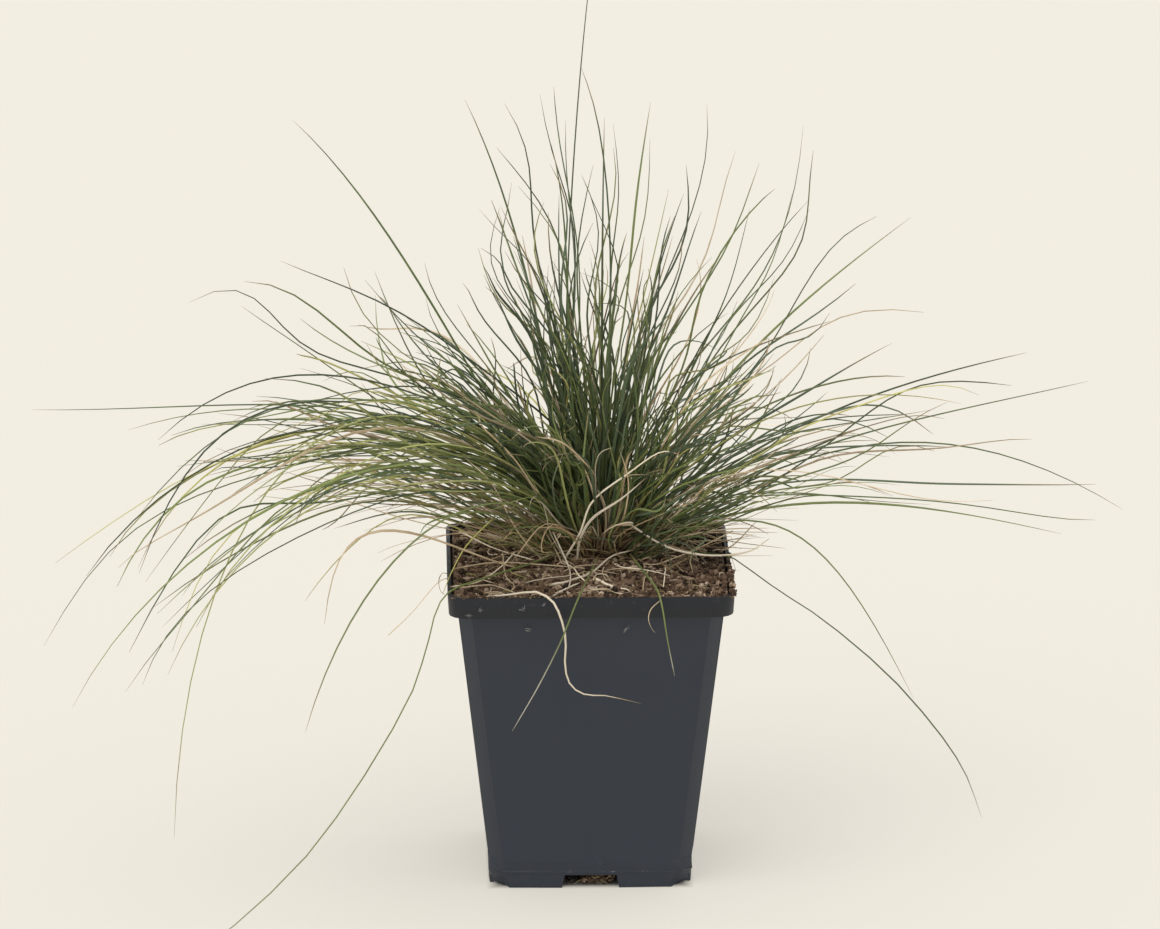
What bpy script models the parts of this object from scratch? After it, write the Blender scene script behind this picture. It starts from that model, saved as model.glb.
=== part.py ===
"""Potted clump of fine-leaved fescue grass in a square nursery pot.

The clump is built as it would come apart on a bench: the moulded pot, the block of soil, the woody
crown, the tufts of shoots that grow from it, the long single leaves that stand out of the tufts,
and the dead leaves that lie on the soil or hang over the rim. The origin is the middle of the pot's
foot, +Z is up and +X runs along the pot's face to the right.
"""

from __future__ import annotations

from dataclasses import dataclass
from math import cos, exp, pi, radians, sin

import bmesh
import bpy
from mathutils import Matrix, Vector

MM = 0.001
GAP = 0.3                      # clearance kept between touching pieces, in mm

# The pot: a standard 9 x 9 x 10 cm square nursery pot, all in mm.
POT_HEIGHT = 99.0
RIM_WIDTH = 90.0
RIM_LOW_WIDTH = 89.2
RIM_BAND = 6.6
SHOULDER_WIDTH = 83.2
FOOT_WIDTH = 64.8
FOOT_BAND = 9.0
ANKLE_WIDTH = 64.3
WALL = 1.1
RIM_CORNER = 6.0
CORNER_CHAMFER = 5.8
FLOOR_UNDERSIDE = 4.6
FLOOR_THICKNESS = 1.3
BEAD_HEIGHT = 5.2
BEAD_PROUD = 0.2
NOTCH_WIDTH = 16.6
NOTCH_HEIGHT = 4.2
NOTCH_SPLAY = 1.0
DRAIN_HOLE = 9.0
DRAIN_OFFSET = 20.0
RIB_WIDTH = 0.9
RIB_PROUD = 0.15

# The soil fills the pot to a few mm under the rim and rises to a flat seat under the crown.
SOIL_LEVEL = 95.0
SEAT_RISE = 5.0
SEAT_RADIUS = 18.0
MOUND_SPREAD = 20.0
SOIL_CELLS = 16

# The crown is a low dome, a little behind and to the right of the pot's middle.
CROWN_X = 4.0
CROWN_Y = 10.0
CROWN_RADIUS = 17.0
CROWN_CENTRE_HEIGHT = 92.0

# Shoots and leaves.
TUFT_BASE = 2.3
TUFT_SWELL = 2.6
TUFT_TIP = 0.35
TUFT_POINTS = 10
LEAF_BASE = 0.42
LEAF_TIP = 0.14
LEAF_POINTS = 12
ROUTE_POINTS = 14
STRAW_RADIUS = 0.42
STRAW_TIP = 0.2
STRAW_POINTS = 9

LEAF_GREEN = (0.045, 0.095, 0.040)
TUFT_GREEN = (0.035, 0.080, 0.038)
STRAW_TAN = (0.46, 0.36, 0.21)
POT_SLATE = (0.047, 0.049, 0.055)
SOIL_BROWN = (0.085, 0.055, 0.033)
CROWN_TAN = (0.16, 0.12, 0.06)


@dataclass(frozen=True)
class Arc:
    """A shoot or leaf that leaves the crown square to its surface and bends in one upright plane.

    azimuth is its bearing and launch its slope where it starts. reach is how far its tip is from
    the crown's axis and height how far above the floor, with the slope it ends at. spring is how
    far it holds each slope, as a share of its span. Angles are in degrees and lengths in mm.
    """

    name: str
    azimuth: float
    launch: float
    reach: float
    height: float
    end_slope: float
    spring: float = 0.36


@dataclass(frozen=True)
class Straw:
    """A dead leaf that lies along a route of points (x, y, height above the floor) in mm."""

    name: str
    route: tuple[tuple[float, float, float], ...]
    radius: float = STRAW_RADIUS
    tip: float = STRAW_TIP


# Three whorls of tufts: the outer one is open at the front, where the soil shows.
TUFTS = (
    Arc("tuft_01", 305, 42, 85, 130, -20),
    Arc("tuft_02", 333, 42, 108, 138, -14),
    Arc("tuft_03", 1, 42, 135, 140, -6),
    Arc("tuft_04", 29, 42, 128, 130, -18),
    Arc("tuft_05", 57, 42, 112, 126, -25),
    Arc("tuft_06", 85, 42, 104, 122, -30),
    Arc("tuft_07", 113, 42, 106, 122, -30),
    Arc("tuft_08", 141, 42, 120, 127, -26),
    Arc("tuft_09", 169, 42, 132, 136, -15),
    Arc("tuft_10", 196, 42, 140, 128, -28),
    Arc("tuft_11", 220, 42, 124, 114, -44),
    Arc("tuft_12", 335, 62, 74, 178, 18),
    Arc("tuft_13", 20, 62, 98, 192, 26),
    Arc("tuft_14", 65, 62, 84, 194, 30),
    Arc("tuft_15", 110, 62, 80, 190, 30),
    Arc("tuft_16", 155, 62, 80, 182, 20),
    Arc("tuft_17", 200, 62, 104, 170, 4),
    Arc("tuft_18", 245, 62, 76, 166, 8),
    Arc("tuft_19", 290, 62, 64, 166, 16),
    Arc("tuft_20", 357, 79, 52, 226, 62),
    Arc("tuft_21", 117, 79, 36, 238, 72),
    Arc("tuft_22", 237, 79, 42, 220, 62),
)

# The single leaves that stand clear of the tufts.
LEAVES = (
    Arc("leaf_tallest", 177, 69, 2, 295, 99, 0.16),
    Arc("leaf_back_left_high", 177, 55, 97, 239, 43, 0.30),
    Arc("leaf_left_far", 183, 54, 180, 149, 2, 0.40),
    Arc("leaf_left_flat", 155, 40, 168, 121, -22),
    Arc("leaf_left_drooping", 213, 54, 196, 80, -57, 0.38),
    Arc("leaf_left_hanging", 205, 54, 149, 24, -88, 0.72),
    Arc("leaf_front_left_curved", 234, 44, 158, 78, -62, 0.42),
    Arc("leaf_right_far", 15, 31, 177, 99, -34, 0.42),
    Arc("leaf_right_high", 347, 40, 156, 163, 16),
    Arc("leaf_right_rising", 15, 40, 143, 154, 8),
    Arc("leaf_right_low", 347, 31, 148, 113, -10),
    Arc("leaf_right_yellow", 326, 54, 132, 166, -4),
    Arc("leaf_back_right_high", 36, 54, 127, 190, 24),
    Arc("leaf_back_right_tip_up", 42, 68, 90, 224, 84, 0.50),
    Arc("leaf_right_drooping", 326, 31, 116, 69, -58, 0.56),
    Arc("leaf_back_upright", 87, 68, 46, 230, 45, 0.40),
    Arc("leaf_back_left_upright", 132, 66, 63, 236, 52, 0.36),
    Arc("leaf_back_drooping", 99, 40, 123, 92, -50, 0.42),
)

# The leaves that drape over the pot's rim.
HANGING_LEAVES = (
    Straw("leaf_front_left_trailing", ((-7.5, -2, 101.8), (-22, -17, 101.5), (-36, -32, 101.2),
                                       (-44, -41.5, 100.8), (-48.5, -46.5, 96), (-52, -51.5, 84),
                                       (-58, -58, 69), (-74, -77, 47), (-91, -95, 29),
                                       (-112, -119, 16), (-123, -131, 12)), 0.42, 0.14),
    Straw("leaf_right_trailing", ((19.5, 4.5, 101.8), (33, 0, 101.4), (44, -4.4, 101), (49, -6.2, 98.6),
                                  (60, -11, 91.5), (75, -16.5, 82.5), (94.5, -24, 67), (110, -30, 50),
                                  (118.5, -33, 37), (123.5, -35.5, 23.5)), 0.42, 0.14),
    Straw("leaf_over_front_rim", ((3, -8, 102.5), (0, -24, 101), (-3, -43, 101), (-5.5, -48.5, 97),
                                  (-10, -50.5, 86), (-17, -51.5, 72), (-25, -52, 58)), 0.42, 0.14),
    Straw("leaf_over_front_rim_right", ((13, -7, 102.5), (17.5, -25, 101), (20.5, -43, 101),
                                        (22, -48, 96.5), (23.5, -49.5, 87), (25.8, -50, 75)),
          0.42, 0.14),
)

DEAD_LEAVES = (
    Straw("dead_leaf_curl", ((-34, -39, 96.4), (-26, -41, 98.6), (-18, -44, 101), (-12.5, -47.5, 99),
                             (-9.8, -49, 94), (-8.2, -49, 87), (-8.4, -49, 78), (-6.6, -49.2, 72),
                             (-2, -49.5, 69), (4.5, -49.5, 68.6), (15.3, -49.5, 66)), 0.42, 0.2),
    Straw("dead_leaf_back_right", ((23, 20, 101.2), (30, 13, 100.4), (37, 7, 99.4), (45, 5, 101.2),
                                   (54, 12, 108))),
    Straw("dead_leaf_front_right", ((16, -10, 101.2), (24, -3.5, 100.8), (33, -1, 98.9),
                                    (38, 1.5, 98.5))),
    Straw("dead_leaf_fork_stem", ((-13, -26, 97.5), (-1, -20.5, 99.5), (7, -11, 103),
                                  (14, -9, 104.5))),
    Straw("dead_leaf_fork_right", ((1.5, -23, 99), (7, -28, 97.7), (13, -34, 97))),
    Straw("dead_leaf_fork_left", ((-12, -35, 96.6), (-7, -28, 97.5), (-3, -24.5, 98.4))),
    Straw("dead_leaf_front", ((19, -14, 99.8), (17, -23, 98), (16.4, -31, 96.6))),
    Straw("dead_leaf_back_left", ((-32, 28, 99.6), (-26, 20, 100.4), (-18, 14, 102.6)), 0.6, 0.3),
    Straw("dead_leaf_bent_tall", ((-8, -9.5, 101.5), (-3, -15, 112), (1, -17, 123),
                                  (12, -18, 132), (22, -18.5, 139), (29, -18, 138))),
    Straw("dead_leaf_bent_low", ((-4, -13.5, 102), (-3, -19, 111), (1, -21, 118.5),
                                 (10, -22, 125), (18, -22, 132))),
)


def remove_everything() -> None:
    """Empty the scene before the clump is built."""
    for obj in list(bpy.data.objects):
        bpy.data.objects.remove(obj, do_unlink=True)


def new_collection(name: str) -> bpy.types.Collection:
    """Make a collection and hang it under the scene."""
    collection = bpy.data.collections.new(name)
    bpy.context.scene.collection.children.link(collection)
    return collection


def new_material(name: str, colour: tuple[float, float, float],
                 roughness: float) -> bpy.types.Material:
    """Make a plain Principled material."""
    material = bpy.data.materials.new(name)
    material.use_nodes = True
    shader = material.node_tree.nodes["Principled BSDF"]
    shader.inputs["Base Color"].default_value = (*colour, 1.0)
    shader.inputs["Roughness"].default_value = roughness
    shader.inputs["Metallic"].default_value = 0.0
    material.diffuse_color = (*colour, 1.0)
    return material


def object_from_bmesh(bm: bmesh.types.BMesh, name: str, collection: bpy.types.Collection):
    """Turn a bmesh in mm into an object in metres."""
    bmesh.ops.transform(bm, matrix=Matrix.Scale(MM, 4), verts=bm.verts)
    bmesh.ops.recalc_face_normals(bm, faces=bm.faces)
    mesh = bpy.data.meshes.new(name)
    bm.to_mesh(mesh)
    bm.free()
    obj = bpy.data.objects.new(name, mesh)
    collection.objects.link(obj)
    return obj


def tapered_box(name: str, low: float, high: float, low_width: float, high_width: float,
                corner: float, collection: bpy.types.Collection, corner_steps: int = 1):
    """Make a square box that tapers from low_width to high_width, with its upright edges cut back."""
    bm = bmesh.new()
    bmesh.ops.create_cube(bm, size=1.0)
    for vert in bm.verts:
        top = vert.co.z > 0
        width = high_width if top else low_width
        vert.co = Vector((vert.co.x * width, vert.co.y * width, high if top else low))
    upright = [edge for edge in bm.edges if abs(edge.verts[0].co.z - edge.verts[1].co.z) > 0.01]
    measure = "WIDTH" if corner_steps == 1 else "OFFSET"
    bmesh.ops.bevel(bm, geom=upright, offset=corner, offset_type=measure, segments=corner_steps,
                    profile=0.5, affect="EDGES")
    return object_from_bmesh(bm, name, collection)


def round_cutter(name: str, x: float, y: float, low: float, high: float,
                 collection: bpy.types.Collection):
    """Make the upright round cutter of a drain hole."""
    bm = bmesh.new()
    bmesh.ops.create_cone(bm, cap_ends=True, segments=20, radius1=DRAIN_HOLE / 2, radius2=DRAIN_HOLE / 2,
                          depth=high - low)
    bmesh.ops.translate(bm, verts=bm.verts, vec=(x, y, (low + high) / 2))
    return object_from_bmesh(bm, name, collection)


def notch_cutter(along_x: bool, collection: bpy.types.Collection):
    """Make the splayed bar that cuts a drainage notch through two facing sides of the skirt."""
    bm = bmesh.new()
    bmesh.ops.create_cube(bm, size=1.0)
    for vert in bm.verts:
        top = vert.co.z > 0
        half = NOTCH_WIDTH / 2 if top else NOTCH_WIDTH / 2 + NOTCH_SPLAY
        across = half * (1 if vert.co.x > 0 else -1)
        along = FOOT_WIDTH * (1 if vert.co.y > 0 else -1)
        height = NOTCH_HEIGHT if top else -NOTCH_SPLAY
        vert.co = Vector((along, across, height) if along_x else (across, along, height))
    return object_from_bmesh(bm, "notches_along_x" if along_x else "notches_along_y", collection)


def add_boolean(target, operand, operation: str) -> None:
    """Join or cut target with operand, and leave the operand as a wire guide."""
    modifier = target.modifiers.new(f"{operation.lower()} {operand.name}", "BOOLEAN")
    modifier.operation = operation
    modifier.solver = "EXACT"
    modifier.object = operand
    operand.hide_render = True
    operand.display_type = "WIRE"


def body_width(height: float) -> float:
    """Give the pot's outer width at a height between the foot band and the shoulder."""
    share = (height - FOOT_BAND) / (POT_HEIGHT - RIM_BAND - FOOT_BAND)
    return ANKLE_WIDTH + (SHOULDER_WIDTH - ANKLE_WIDTH) * share


def build_pot(parts: bpy.types.Collection, cutters: bpy.types.Collection, material):
    """Build the moulded pot: tapered body, foot band, stepped rim, floor, notches and drain holes."""
    shoulder = POT_HEIGHT - RIM_BAND
    overlap = 3.0
    pot = tapered_box("pot", 0, FOOT_BAND, FOOT_WIDTH, FOOT_WIDTH, CORNER_CHAMFER, parts)
    body = tapered_box("body_block", FOOT_BAND - overlap, shoulder + overlap,
                       body_width(FOOT_BAND - overlap), body_width(shoulder + overlap),
                       CORNER_CHAMFER, cutters)
    add_boolean(pot, body, "UNION")
    rim = tapered_box("rim_block", shoulder, POT_HEIGHT, RIM_LOW_WIDTH, RIM_WIDTH, RIM_CORNER, cutters, 4)
    add_boolean(pot, rim, "UNION")
    bead = tapered_box("foot_bead", BEAD_HEIGHT - 0.3, BEAD_HEIGHT + 0.3, FOOT_WIDTH + 2 * BEAD_PROUD,
                       FOOT_WIDTH + 2 * BEAD_PROUD, CORNER_CHAMFER, cutters)
    add_boolean(pot, bead, "UNION")
    for sign_x in (-1, 1):
        for sign_y in (-1, 1):
            add_boolean(pot, corner_rib(sign_x, sign_y, cutters), "UNION")

    floor_top = FLOOR_UNDERSIDE + FLOOR_THICKNESS
    inner = tapered_box("inner_space", floor_top, shoulder + 2 * overlap,
                        body_width(floor_top) - 2 * WALL, body_width(shoulder + 2 * overlap) - 2 * WALL,
                        CORNER_CHAMFER, cutters)
    add_boolean(pot, inner, "DIFFERENCE")
    rim_inner = tapered_box("rim_space", shoulder + WALL, POT_HEIGHT + overlap, RIM_LOW_WIDTH - 2 * WALL,
                            RIM_WIDTH - 2 * WALL, RIM_CORNER - WALL, cutters, 4)
    add_boolean(pot, rim_inner, "DIFFERENCE")
    under = tapered_box("under_space", -overlap, FLOOR_UNDERSIDE, FOOT_WIDTH - 2 * WALL,
                        FOOT_WIDTH - 2 * WALL, CORNER_CHAMFER, cutters)
    add_boolean(pot, under, "DIFFERENCE")
    for along_x in (True, False):
        add_boolean(pot, notch_cutter(along_x, cutters), "DIFFERENCE")
    steps = (-DRAIN_OFFSET, 0.0, DRAIN_OFFSET)
    for number, (x, y) in enumerate((x, y) for x in steps for y in steps):
        hole = round_cutter(f"drain_{number}", x, y, FLOOR_UNDERSIDE - 1, floor_top + 1, cutters)
        add_boolean(pot, hole, "DIFFERENCE")
    pot.data.materials.append(material)
    return pot


def corner_rib(sign_x: int, sign_y: int, collection: bpy.types.Collection):
    """Make the slim rib that runs up the side edge of a corner's chamfer, from foot to shoulder."""
    bm = bmesh.new()
    bmesh.ops.create_cube(bm, size=1.0)
    shoulder = POT_HEIGHT - RIM_BAND
    leg = CORNER_CHAMFER / 2 ** 0.5
    for vert in bm.verts:
        height = shoulder + 1 if vert.co.z > 0 else FOOT_BAND - 2
        half = body_width(height) / 2
        depth = RIB_PROUD if vert.co.x > 0 else -WALL / 2
        along = leg + (RIB_WIDTH if vert.co.y > 0 else 0)
        vert.co = Vector((sign_x * (half + depth), sign_y * (half - along), height))
    side = "right" if sign_x > 0 else "left"
    end = "back" if sign_y > 0 else "front"
    return object_from_bmesh(bm, f"corner_rib_{side}_{end}", collection)


def soil_height(x: float, y: float) -> float:
    """Give the height of the soil's surface: a flat seat under the crown that falls to the rim."""
    distance = Vector((x - CROWN_X, y - CROWN_Y)).length
    outside = max(0.0, distance - SEAT_RADIUS)
    mound = SEAT_RISE * exp(-(outside / MOUND_SPREAD) ** 2)
    lumps = 0.35 * sin(0.31 * x + 0.8) * cos(0.27 * y) + 0.2 * sin(0.53 * x - 0.47 * y)
    return SOIL_LEVEL + mound + lumps * min(1.0, outside / 8.0)


def build_soil(parts: bpy.types.Collection, cutters: bpy.types.Collection, material):
    """Build the block of soil: an uneven slab cut to the pot's inner shape, with a gap all round."""
    bm = bmesh.new()
    bmesh.ops.create_grid(bm, x_segments=SOIL_CELLS, y_segments=SOIL_CELLS, size=RIM_WIDTH / 2 + 2)
    for vert in bm.verts:
        vert.co.z = soil_height(vert.co.x, vert.co.y)
    surface = list(bm.faces)
    walls = bmesh.ops.extrude_face_region(bm, geom=surface)
    lowered = [item for item in walls["geom"] if isinstance(item, bmesh.types.BMVert)]
    for vert in lowered:
        vert.co.z = 0.0
    soil = object_from_bmesh(bm, "soil", parts)

    shoulder = POT_HEIGHT - RIM_BAND
    floor_top = FLOOR_UNDERSIDE + FLOOR_THICKNESS
    inset = 2 * (WALL + GAP)
    mould = tapered_box("soil_mould", floor_top + GAP, shoulder + 4, body_width(floor_top) - inset,
                        body_width(shoulder + 4) - inset, CORNER_CHAMFER, cutters)
    upper = tapered_box("soil_mould_rim", shoulder + WALL + GAP, POT_HEIGHT + 6,
                        RIM_LOW_WIDTH - inset, RIM_WIDTH - inset, RIM_CORNER - WALL, cutters, 4)
    add_boolean(mould, upper, "UNION")
    add_boolean(soil, mould, "INTERSECT")
    soil.data.materials.append(material)
    return soil


def build_crown(parts: bpy.types.Collection, material):
    """Build the crown, a dome cut flat where it sits on the soil."""
    bm = bmesh.new()
    bmesh.ops.create_uvsphere(bm, u_segments=24, v_segments=14, radius=CROWN_RADIUS)
    bmesh.ops.translate(bm, verts=bm.verts, vec=(CROWN_X, CROWN_Y, CROWN_CENTRE_HEIGHT))
    seat = SOIL_LEVEL + SEAT_RISE + GAP
    cut = bmesh.ops.bisect_plane(bm, geom=bm.verts[:] + bm.edges[:] + bm.faces[:], dist=0.0001,
                                 plane_co=(0, 0, seat), plane_no=(0, 0, 1), clear_inner=True)
    rim = [item for item in cut["geom_cut"] if isinstance(item, bmesh.types.BMEdge)]
    bmesh.ops.contextual_create(bm, geom=rim)
    crown = object_from_bmesh(bm, "crown", parts)
    crown.data.materials.append(material)
    crown.data.shade_smooth()
    crown.data.set_sharp_from_angle(angle=radians(50))
    return crown


def arc_points(arc: Arc, count: int) -> list[Vector]:
    """Work out the points of an arc, from the crown's surface to the tip."""
    bearing = radians(arc.azimuth)
    outward = Vector((cos(bearing), sin(bearing), 0.0))
    axis = Vector((CROWN_X, CROWN_Y, 0.0))
    start_slope, end_slope = radians(arc.launch), radians(arc.end_slope)
    stand = CROWN_RADIUS + GAP
    start = Vector((stand * cos(start_slope), CROWN_CENTRE_HEIGHT + stand * sin(start_slope)))
    tip = Vector((arc.reach, arc.height))
    hold = arc.spring * (tip - start).length
    after = start + hold * Vector((cos(start_slope), sin(start_slope)))
    before = tip - hold * Vector((cos(end_slope), sin(end_slope)))
    points = []
    for number in range(count):
        t = number / (count - 1)
        flat = (start * (1 - t) ** 3 + after * 3 * t * (1 - t) ** 2
                + before * 3 * t ** 2 * (1 - t) + tip * t ** 3)
        points.append(axis + outward * flat.x + Vector((0, 0, flat.y)))
    return points


def smooth_route(route, count: int) -> list[Vector]:
    """Read evenly placed points from a smooth curve through the route's own points."""
    knots = [Vector(point) for point in route]
    ends = [knots[0] * 2 - knots[1]] + knots + [knots[-1] * 2 - knots[-2]]
    points = []
    for number in range(count):
        place = number / (count - 1) * (len(knots) - 1)
        span = min(int(place), len(knots) - 2)
        t = place - span
        a, b, c, d = ends[span:span + 4]
        points.append(0.5 * ((2 * b) + (c - a) * t + (2 * a - 5 * b + 4 * c - d) * t * t
                             + (3 * b - a - 3 * c + d) * t ** 3))
    return points


def tapered_tube(name: str, points: list[Vector], radii: list[float], sides_step: int,
                 parts: bpy.types.Collection, material):
    """Make a closed tube along points in mm, with a radius in mm at each of them."""
    curve = bpy.data.curves.new(name, "CURVE")
    curve.dimensions = "3D"
    curve.bevel_depth = MM
    curve.bevel_resolution = sides_step
    curve.use_fill_caps = True
    spline = curve.splines.new("POLY")
    spline.points.add(len(points) - 1)
    for knot, point, radius in zip(spline.points, points, radii):
        knot.co = (*(point * MM), 1.0)
        knot.radius = radius
    spline.use_smooth = True
    curve.materials.append(material)
    obj = bpy.data.objects.new(name, curve)
    parts.objects.link(obj)
    return obj


def blade_radii(base: float, tip: float, count: int) -> list[float]:
    """Taper a blade slowly at first and quickly near its tip."""
    return [tip + (base - tip) * (1 - (n / (count - 1)) ** 2.2) for n in range(count)]


def tuft_radii() -> list[float]:
    """Swell a tuft from its tight base to a belly and draw it in to its tip."""
    radii = []
    for number in range(TUFT_POINTS):
        t = number / (TUFT_POINTS - 1)
        straight = TUFT_BASE * (1 - t) + TUFT_TIP * t
        radii.append(straight + TUFT_SWELL * sin(pi * t) ** 1.4 * (1 - 0.35 * t))
    return radii


def main() -> None:
    """Build the whole clump."""
    remove_everything()
    parts = new_collection("potted_fescue_clump")
    cutters = new_collection("cutters")
    build_pot(parts, cutters, new_material("pot_plastic", POT_SLATE, 0.55))
    build_soil(parts, cutters, new_material("soil_mix", SOIL_BROWN, 0.95))
    build_crown(parts, new_material("crown_sheaths", CROWN_TAN, 0.9))

    tuft_green = new_material("tuft_leaves", TUFT_GREEN, 0.6)
    for tuft in TUFTS:
        tapered_tube(tuft.name, arc_points(tuft, TUFT_POINTS), tuft_radii(), 2, parts, tuft_green)
    leaf_green = new_material("single_leaves", LEAF_GREEN, 0.55)
    for leaf in LEAVES:
        radii = blade_radii(LEAF_BASE, LEAF_TIP, LEAF_POINTS)
        tapered_tube(leaf.name, arc_points(leaf, LEAF_POINTS), radii, 1, parts, leaf_green)
    for leaf in HANGING_LEAVES:
        radii = blade_radii(leaf.radius, leaf.tip, ROUTE_POINTS)
        tapered_tube(leaf.name, smooth_route(leaf.route, ROUTE_POINTS), radii, 1, parts, leaf_green)
    straw_tan = new_material("dead_leaves", STRAW_TAN, 0.7)
    for straw in DEAD_LEAVES:
        count = max(STRAW_POINTS, len(straw.route) + 1)
        radii = blade_radii(straw.radius, straw.tip, count)
        tapered_tube(straw.name, smooth_route(straw.route, count), radii, 1, parts, straw_tan)


main()
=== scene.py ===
"""Looks of a potted fescue clump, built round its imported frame.

The block of soil keeps its CAD shape, and the pot is a copy of its CAD shape with rounded edges.
Everything finer than a solid can be is mesh: the leaves of each tuft, the single and hanging
leaves, the dead leaves, the old sheaths on the crown, and the soil's crumbs, bark and fibres.
Lengths are in mm and angles in degrees, and a mesh turns into metres where it is made. +X is to
the right and +Y to the back.
"""

from __future__ import annotations

import logging
from dataclasses import dataclass, replace
from enum import Enum, IntEnum
from math import cos, pi, radians, sin

import bmesh
import bpy
import numpy as np
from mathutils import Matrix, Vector


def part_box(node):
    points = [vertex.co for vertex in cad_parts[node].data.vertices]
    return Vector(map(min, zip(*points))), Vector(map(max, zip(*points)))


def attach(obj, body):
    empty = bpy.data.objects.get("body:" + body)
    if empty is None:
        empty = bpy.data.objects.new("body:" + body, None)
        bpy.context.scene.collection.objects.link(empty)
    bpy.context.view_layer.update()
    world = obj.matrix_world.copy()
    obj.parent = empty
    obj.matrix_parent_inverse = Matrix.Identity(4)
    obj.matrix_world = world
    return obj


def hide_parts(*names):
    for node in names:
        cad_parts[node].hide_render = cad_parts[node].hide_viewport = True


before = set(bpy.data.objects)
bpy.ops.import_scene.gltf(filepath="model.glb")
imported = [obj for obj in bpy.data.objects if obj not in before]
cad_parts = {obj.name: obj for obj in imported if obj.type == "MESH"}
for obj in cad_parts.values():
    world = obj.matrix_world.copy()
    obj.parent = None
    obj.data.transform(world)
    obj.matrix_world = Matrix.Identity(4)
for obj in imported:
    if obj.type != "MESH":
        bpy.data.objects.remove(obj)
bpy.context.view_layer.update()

MM = 0.001
BODY = "root"
LEAF_POINTS = 20

log = logging.getLogger("fescue")

Colour = tuple[float, float, float]
Point = tuple[float, float, float]
Socket = bpy.types.NodeSocket


class Seed(IntEnum):
    """What each piece's random draws start from, so that no piece shifts another's."""

    COARSE_RELIEF = 4712
    MEDIUM_RELIEF = 4713
    FINE_RELIEF = 4714
    CRUMBS = 4721
    CHIPS = 4722
    FIBRES = 4723
    TUFTS = 4811
    SWEEPS = 4911
    SINGLE_LEAVES = 5011
    ROUTED_LEAVES = 5111
    THATCH = 5211
    SOIL_STRAWS = 5212
    TANGLE = 5213
    CROWN = 5311
    RIM_CRUMBS = 5411
    DRAIN_SOIL = 5416
    DRAIN_ROOTS = 5421
    LINT = 5431


# Palettes ---------------------------------------------------------------------------------------


class Tone(Enum):
    """A place on the leaf palette, which runs from the bluest green to dry pale straw."""

    BLUE_GREEN = 0.0
    DEEP_GREEN = 0.18
    GREEN = 0.36
    MOSS = 0.52
    YELLOW_GREEN = 0.68
    BROWN = 0.80
    TAN = 0.90
    STRAW = 1.0


LEAF_PALETTE: dict[Tone, Colour] = {
    Tone.BLUE_GREEN: (0.075, 0.103, 0.058),
    Tone.DEEP_GREEN: (0.069, 0.097, 0.033),
    Tone.GREEN: (0.164, 0.202, 0.066),
    Tone.MOSS: (0.258, 0.276, 0.102),
    Tone.YELLOW_GREEN: (0.405, 0.395, 0.122),
    Tone.BROWN: (0.240, 0.160, 0.085),
    Tone.TAN: (0.500, 0.390, 0.250),
    Tone.STRAW: (0.680, 0.600, 0.470),
}

SOIL_PALETTE: tuple[tuple[float, Colour], ...] = (
    (0.00, (0.018, 0.011, 0.007)),
    (0.26, (0.075, 0.045, 0.027)),
    (0.55, (0.190, 0.122, 0.078)),
    (0.80, (0.380, 0.270, 0.185)),
    (1.00, (0.640, 0.520, 0.390)),
)


@dataclass(frozen=True)
class ToneMix:
    """How often each tone turns up among the leaves of a tuft."""

    parts: tuple[tuple[Tone, float], ...]

    def pick(self, rng: np.random.Generator) -> Tone:
        """Draw one tone."""
        weights = np.array([share for _, share in self.parts])
        return self.parts[int(rng.choice(len(self.parts), p=weights / weights.sum()))][0]


def living_mix(*shares: float) -> ToneMix:
    """Mix the five greens, in the palette's order, and tan."""
    tones = (Tone.BLUE_GREEN, Tone.DEEP_GREEN, Tone.GREEN, Tone.MOSS, Tone.YELLOW_GREEN, Tone.TAN)
    return ToneMix(tuple(zip(tones, shares)))


LEFT_MIX = living_mix(0.09, 0.13, 0.30, 0.32, 0.09, 0.07)
RIGHT_MIX = living_mix(0.26, 0.28, 0.21, 0.12, 0.04, 0.09)
UPRIGHT_MIX = living_mix(0.32, 0.34, 0.20, 0.08, 0.03, 0.03)
DEAD_MIX = ToneMix(((Tone.BROWN, 0.34), (Tone.TAN, 0.40), (Tone.STRAW, 0.26)))
THATCH_MIX = ToneMix(((Tone.BROWN, 0.26), (Tone.TAN, 0.30), (Tone.STRAW, 0.15), (Tone.MOSS, 0.15),
                      (Tone.GREEN, 0.14)))


# Shapes that lines follow -----------------------------------------------------------------------


@dataclass(frozen=True)
class Crown:
    """The dome that every shoot grows from, with its place read from the frame."""

    radius: float = 17.0
    centre_height: float = 92.0

    def axis(self) -> np.ndarray:
        """Give the place of the dome's centre."""
        low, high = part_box("crown")
        middle = (low + high) / 2 / MM
        return np.array([middle.x, middle.y, self.centre_height])


@dataclass(frozen=True)
class Arc:
    """A shoot or leaf that leaves the crown square to its surface and bends in one upright plane.

    azimuth is its bearing and launch its slope where it starts. reach is how far its tip is from
    the crown's axis and height how far above the floor, with the slope it ends at. spring is how
    far it holds each slope, as a share of its span.
    """

    name: str
    azimuth: float
    launch: float
    reach: float
    height: float
    end_slope: float
    spring: float = 0.36
    tone: Tone = Tone.DEEP_GREEN

    def controls(self, crown: Crown) -> np.ndarray:
        """Work out the four control points of the arc's curve in its own plane.

        Args:
            crown: the dome that the arc starts on.

        Returns:
            A 4 by 2 array of distance from the crown's axis and height above the floor.
        """
        start_slope, end_slope = radians(self.launch), radians(self.end_slope)
        stand = crown.radius + 0.3
        start = np.array([stand * cos(start_slope), crown.centre_height + stand * sin(start_slope)])
        tip = np.array([self.reach, self.height])
        hold = self.spring * float(np.linalg.norm(tip - start))
        after = start + hold * slope_line(start_slope)
        before = tip - hold * slope_line(end_slope)
        return np.array([start, after, before, tip])


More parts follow.
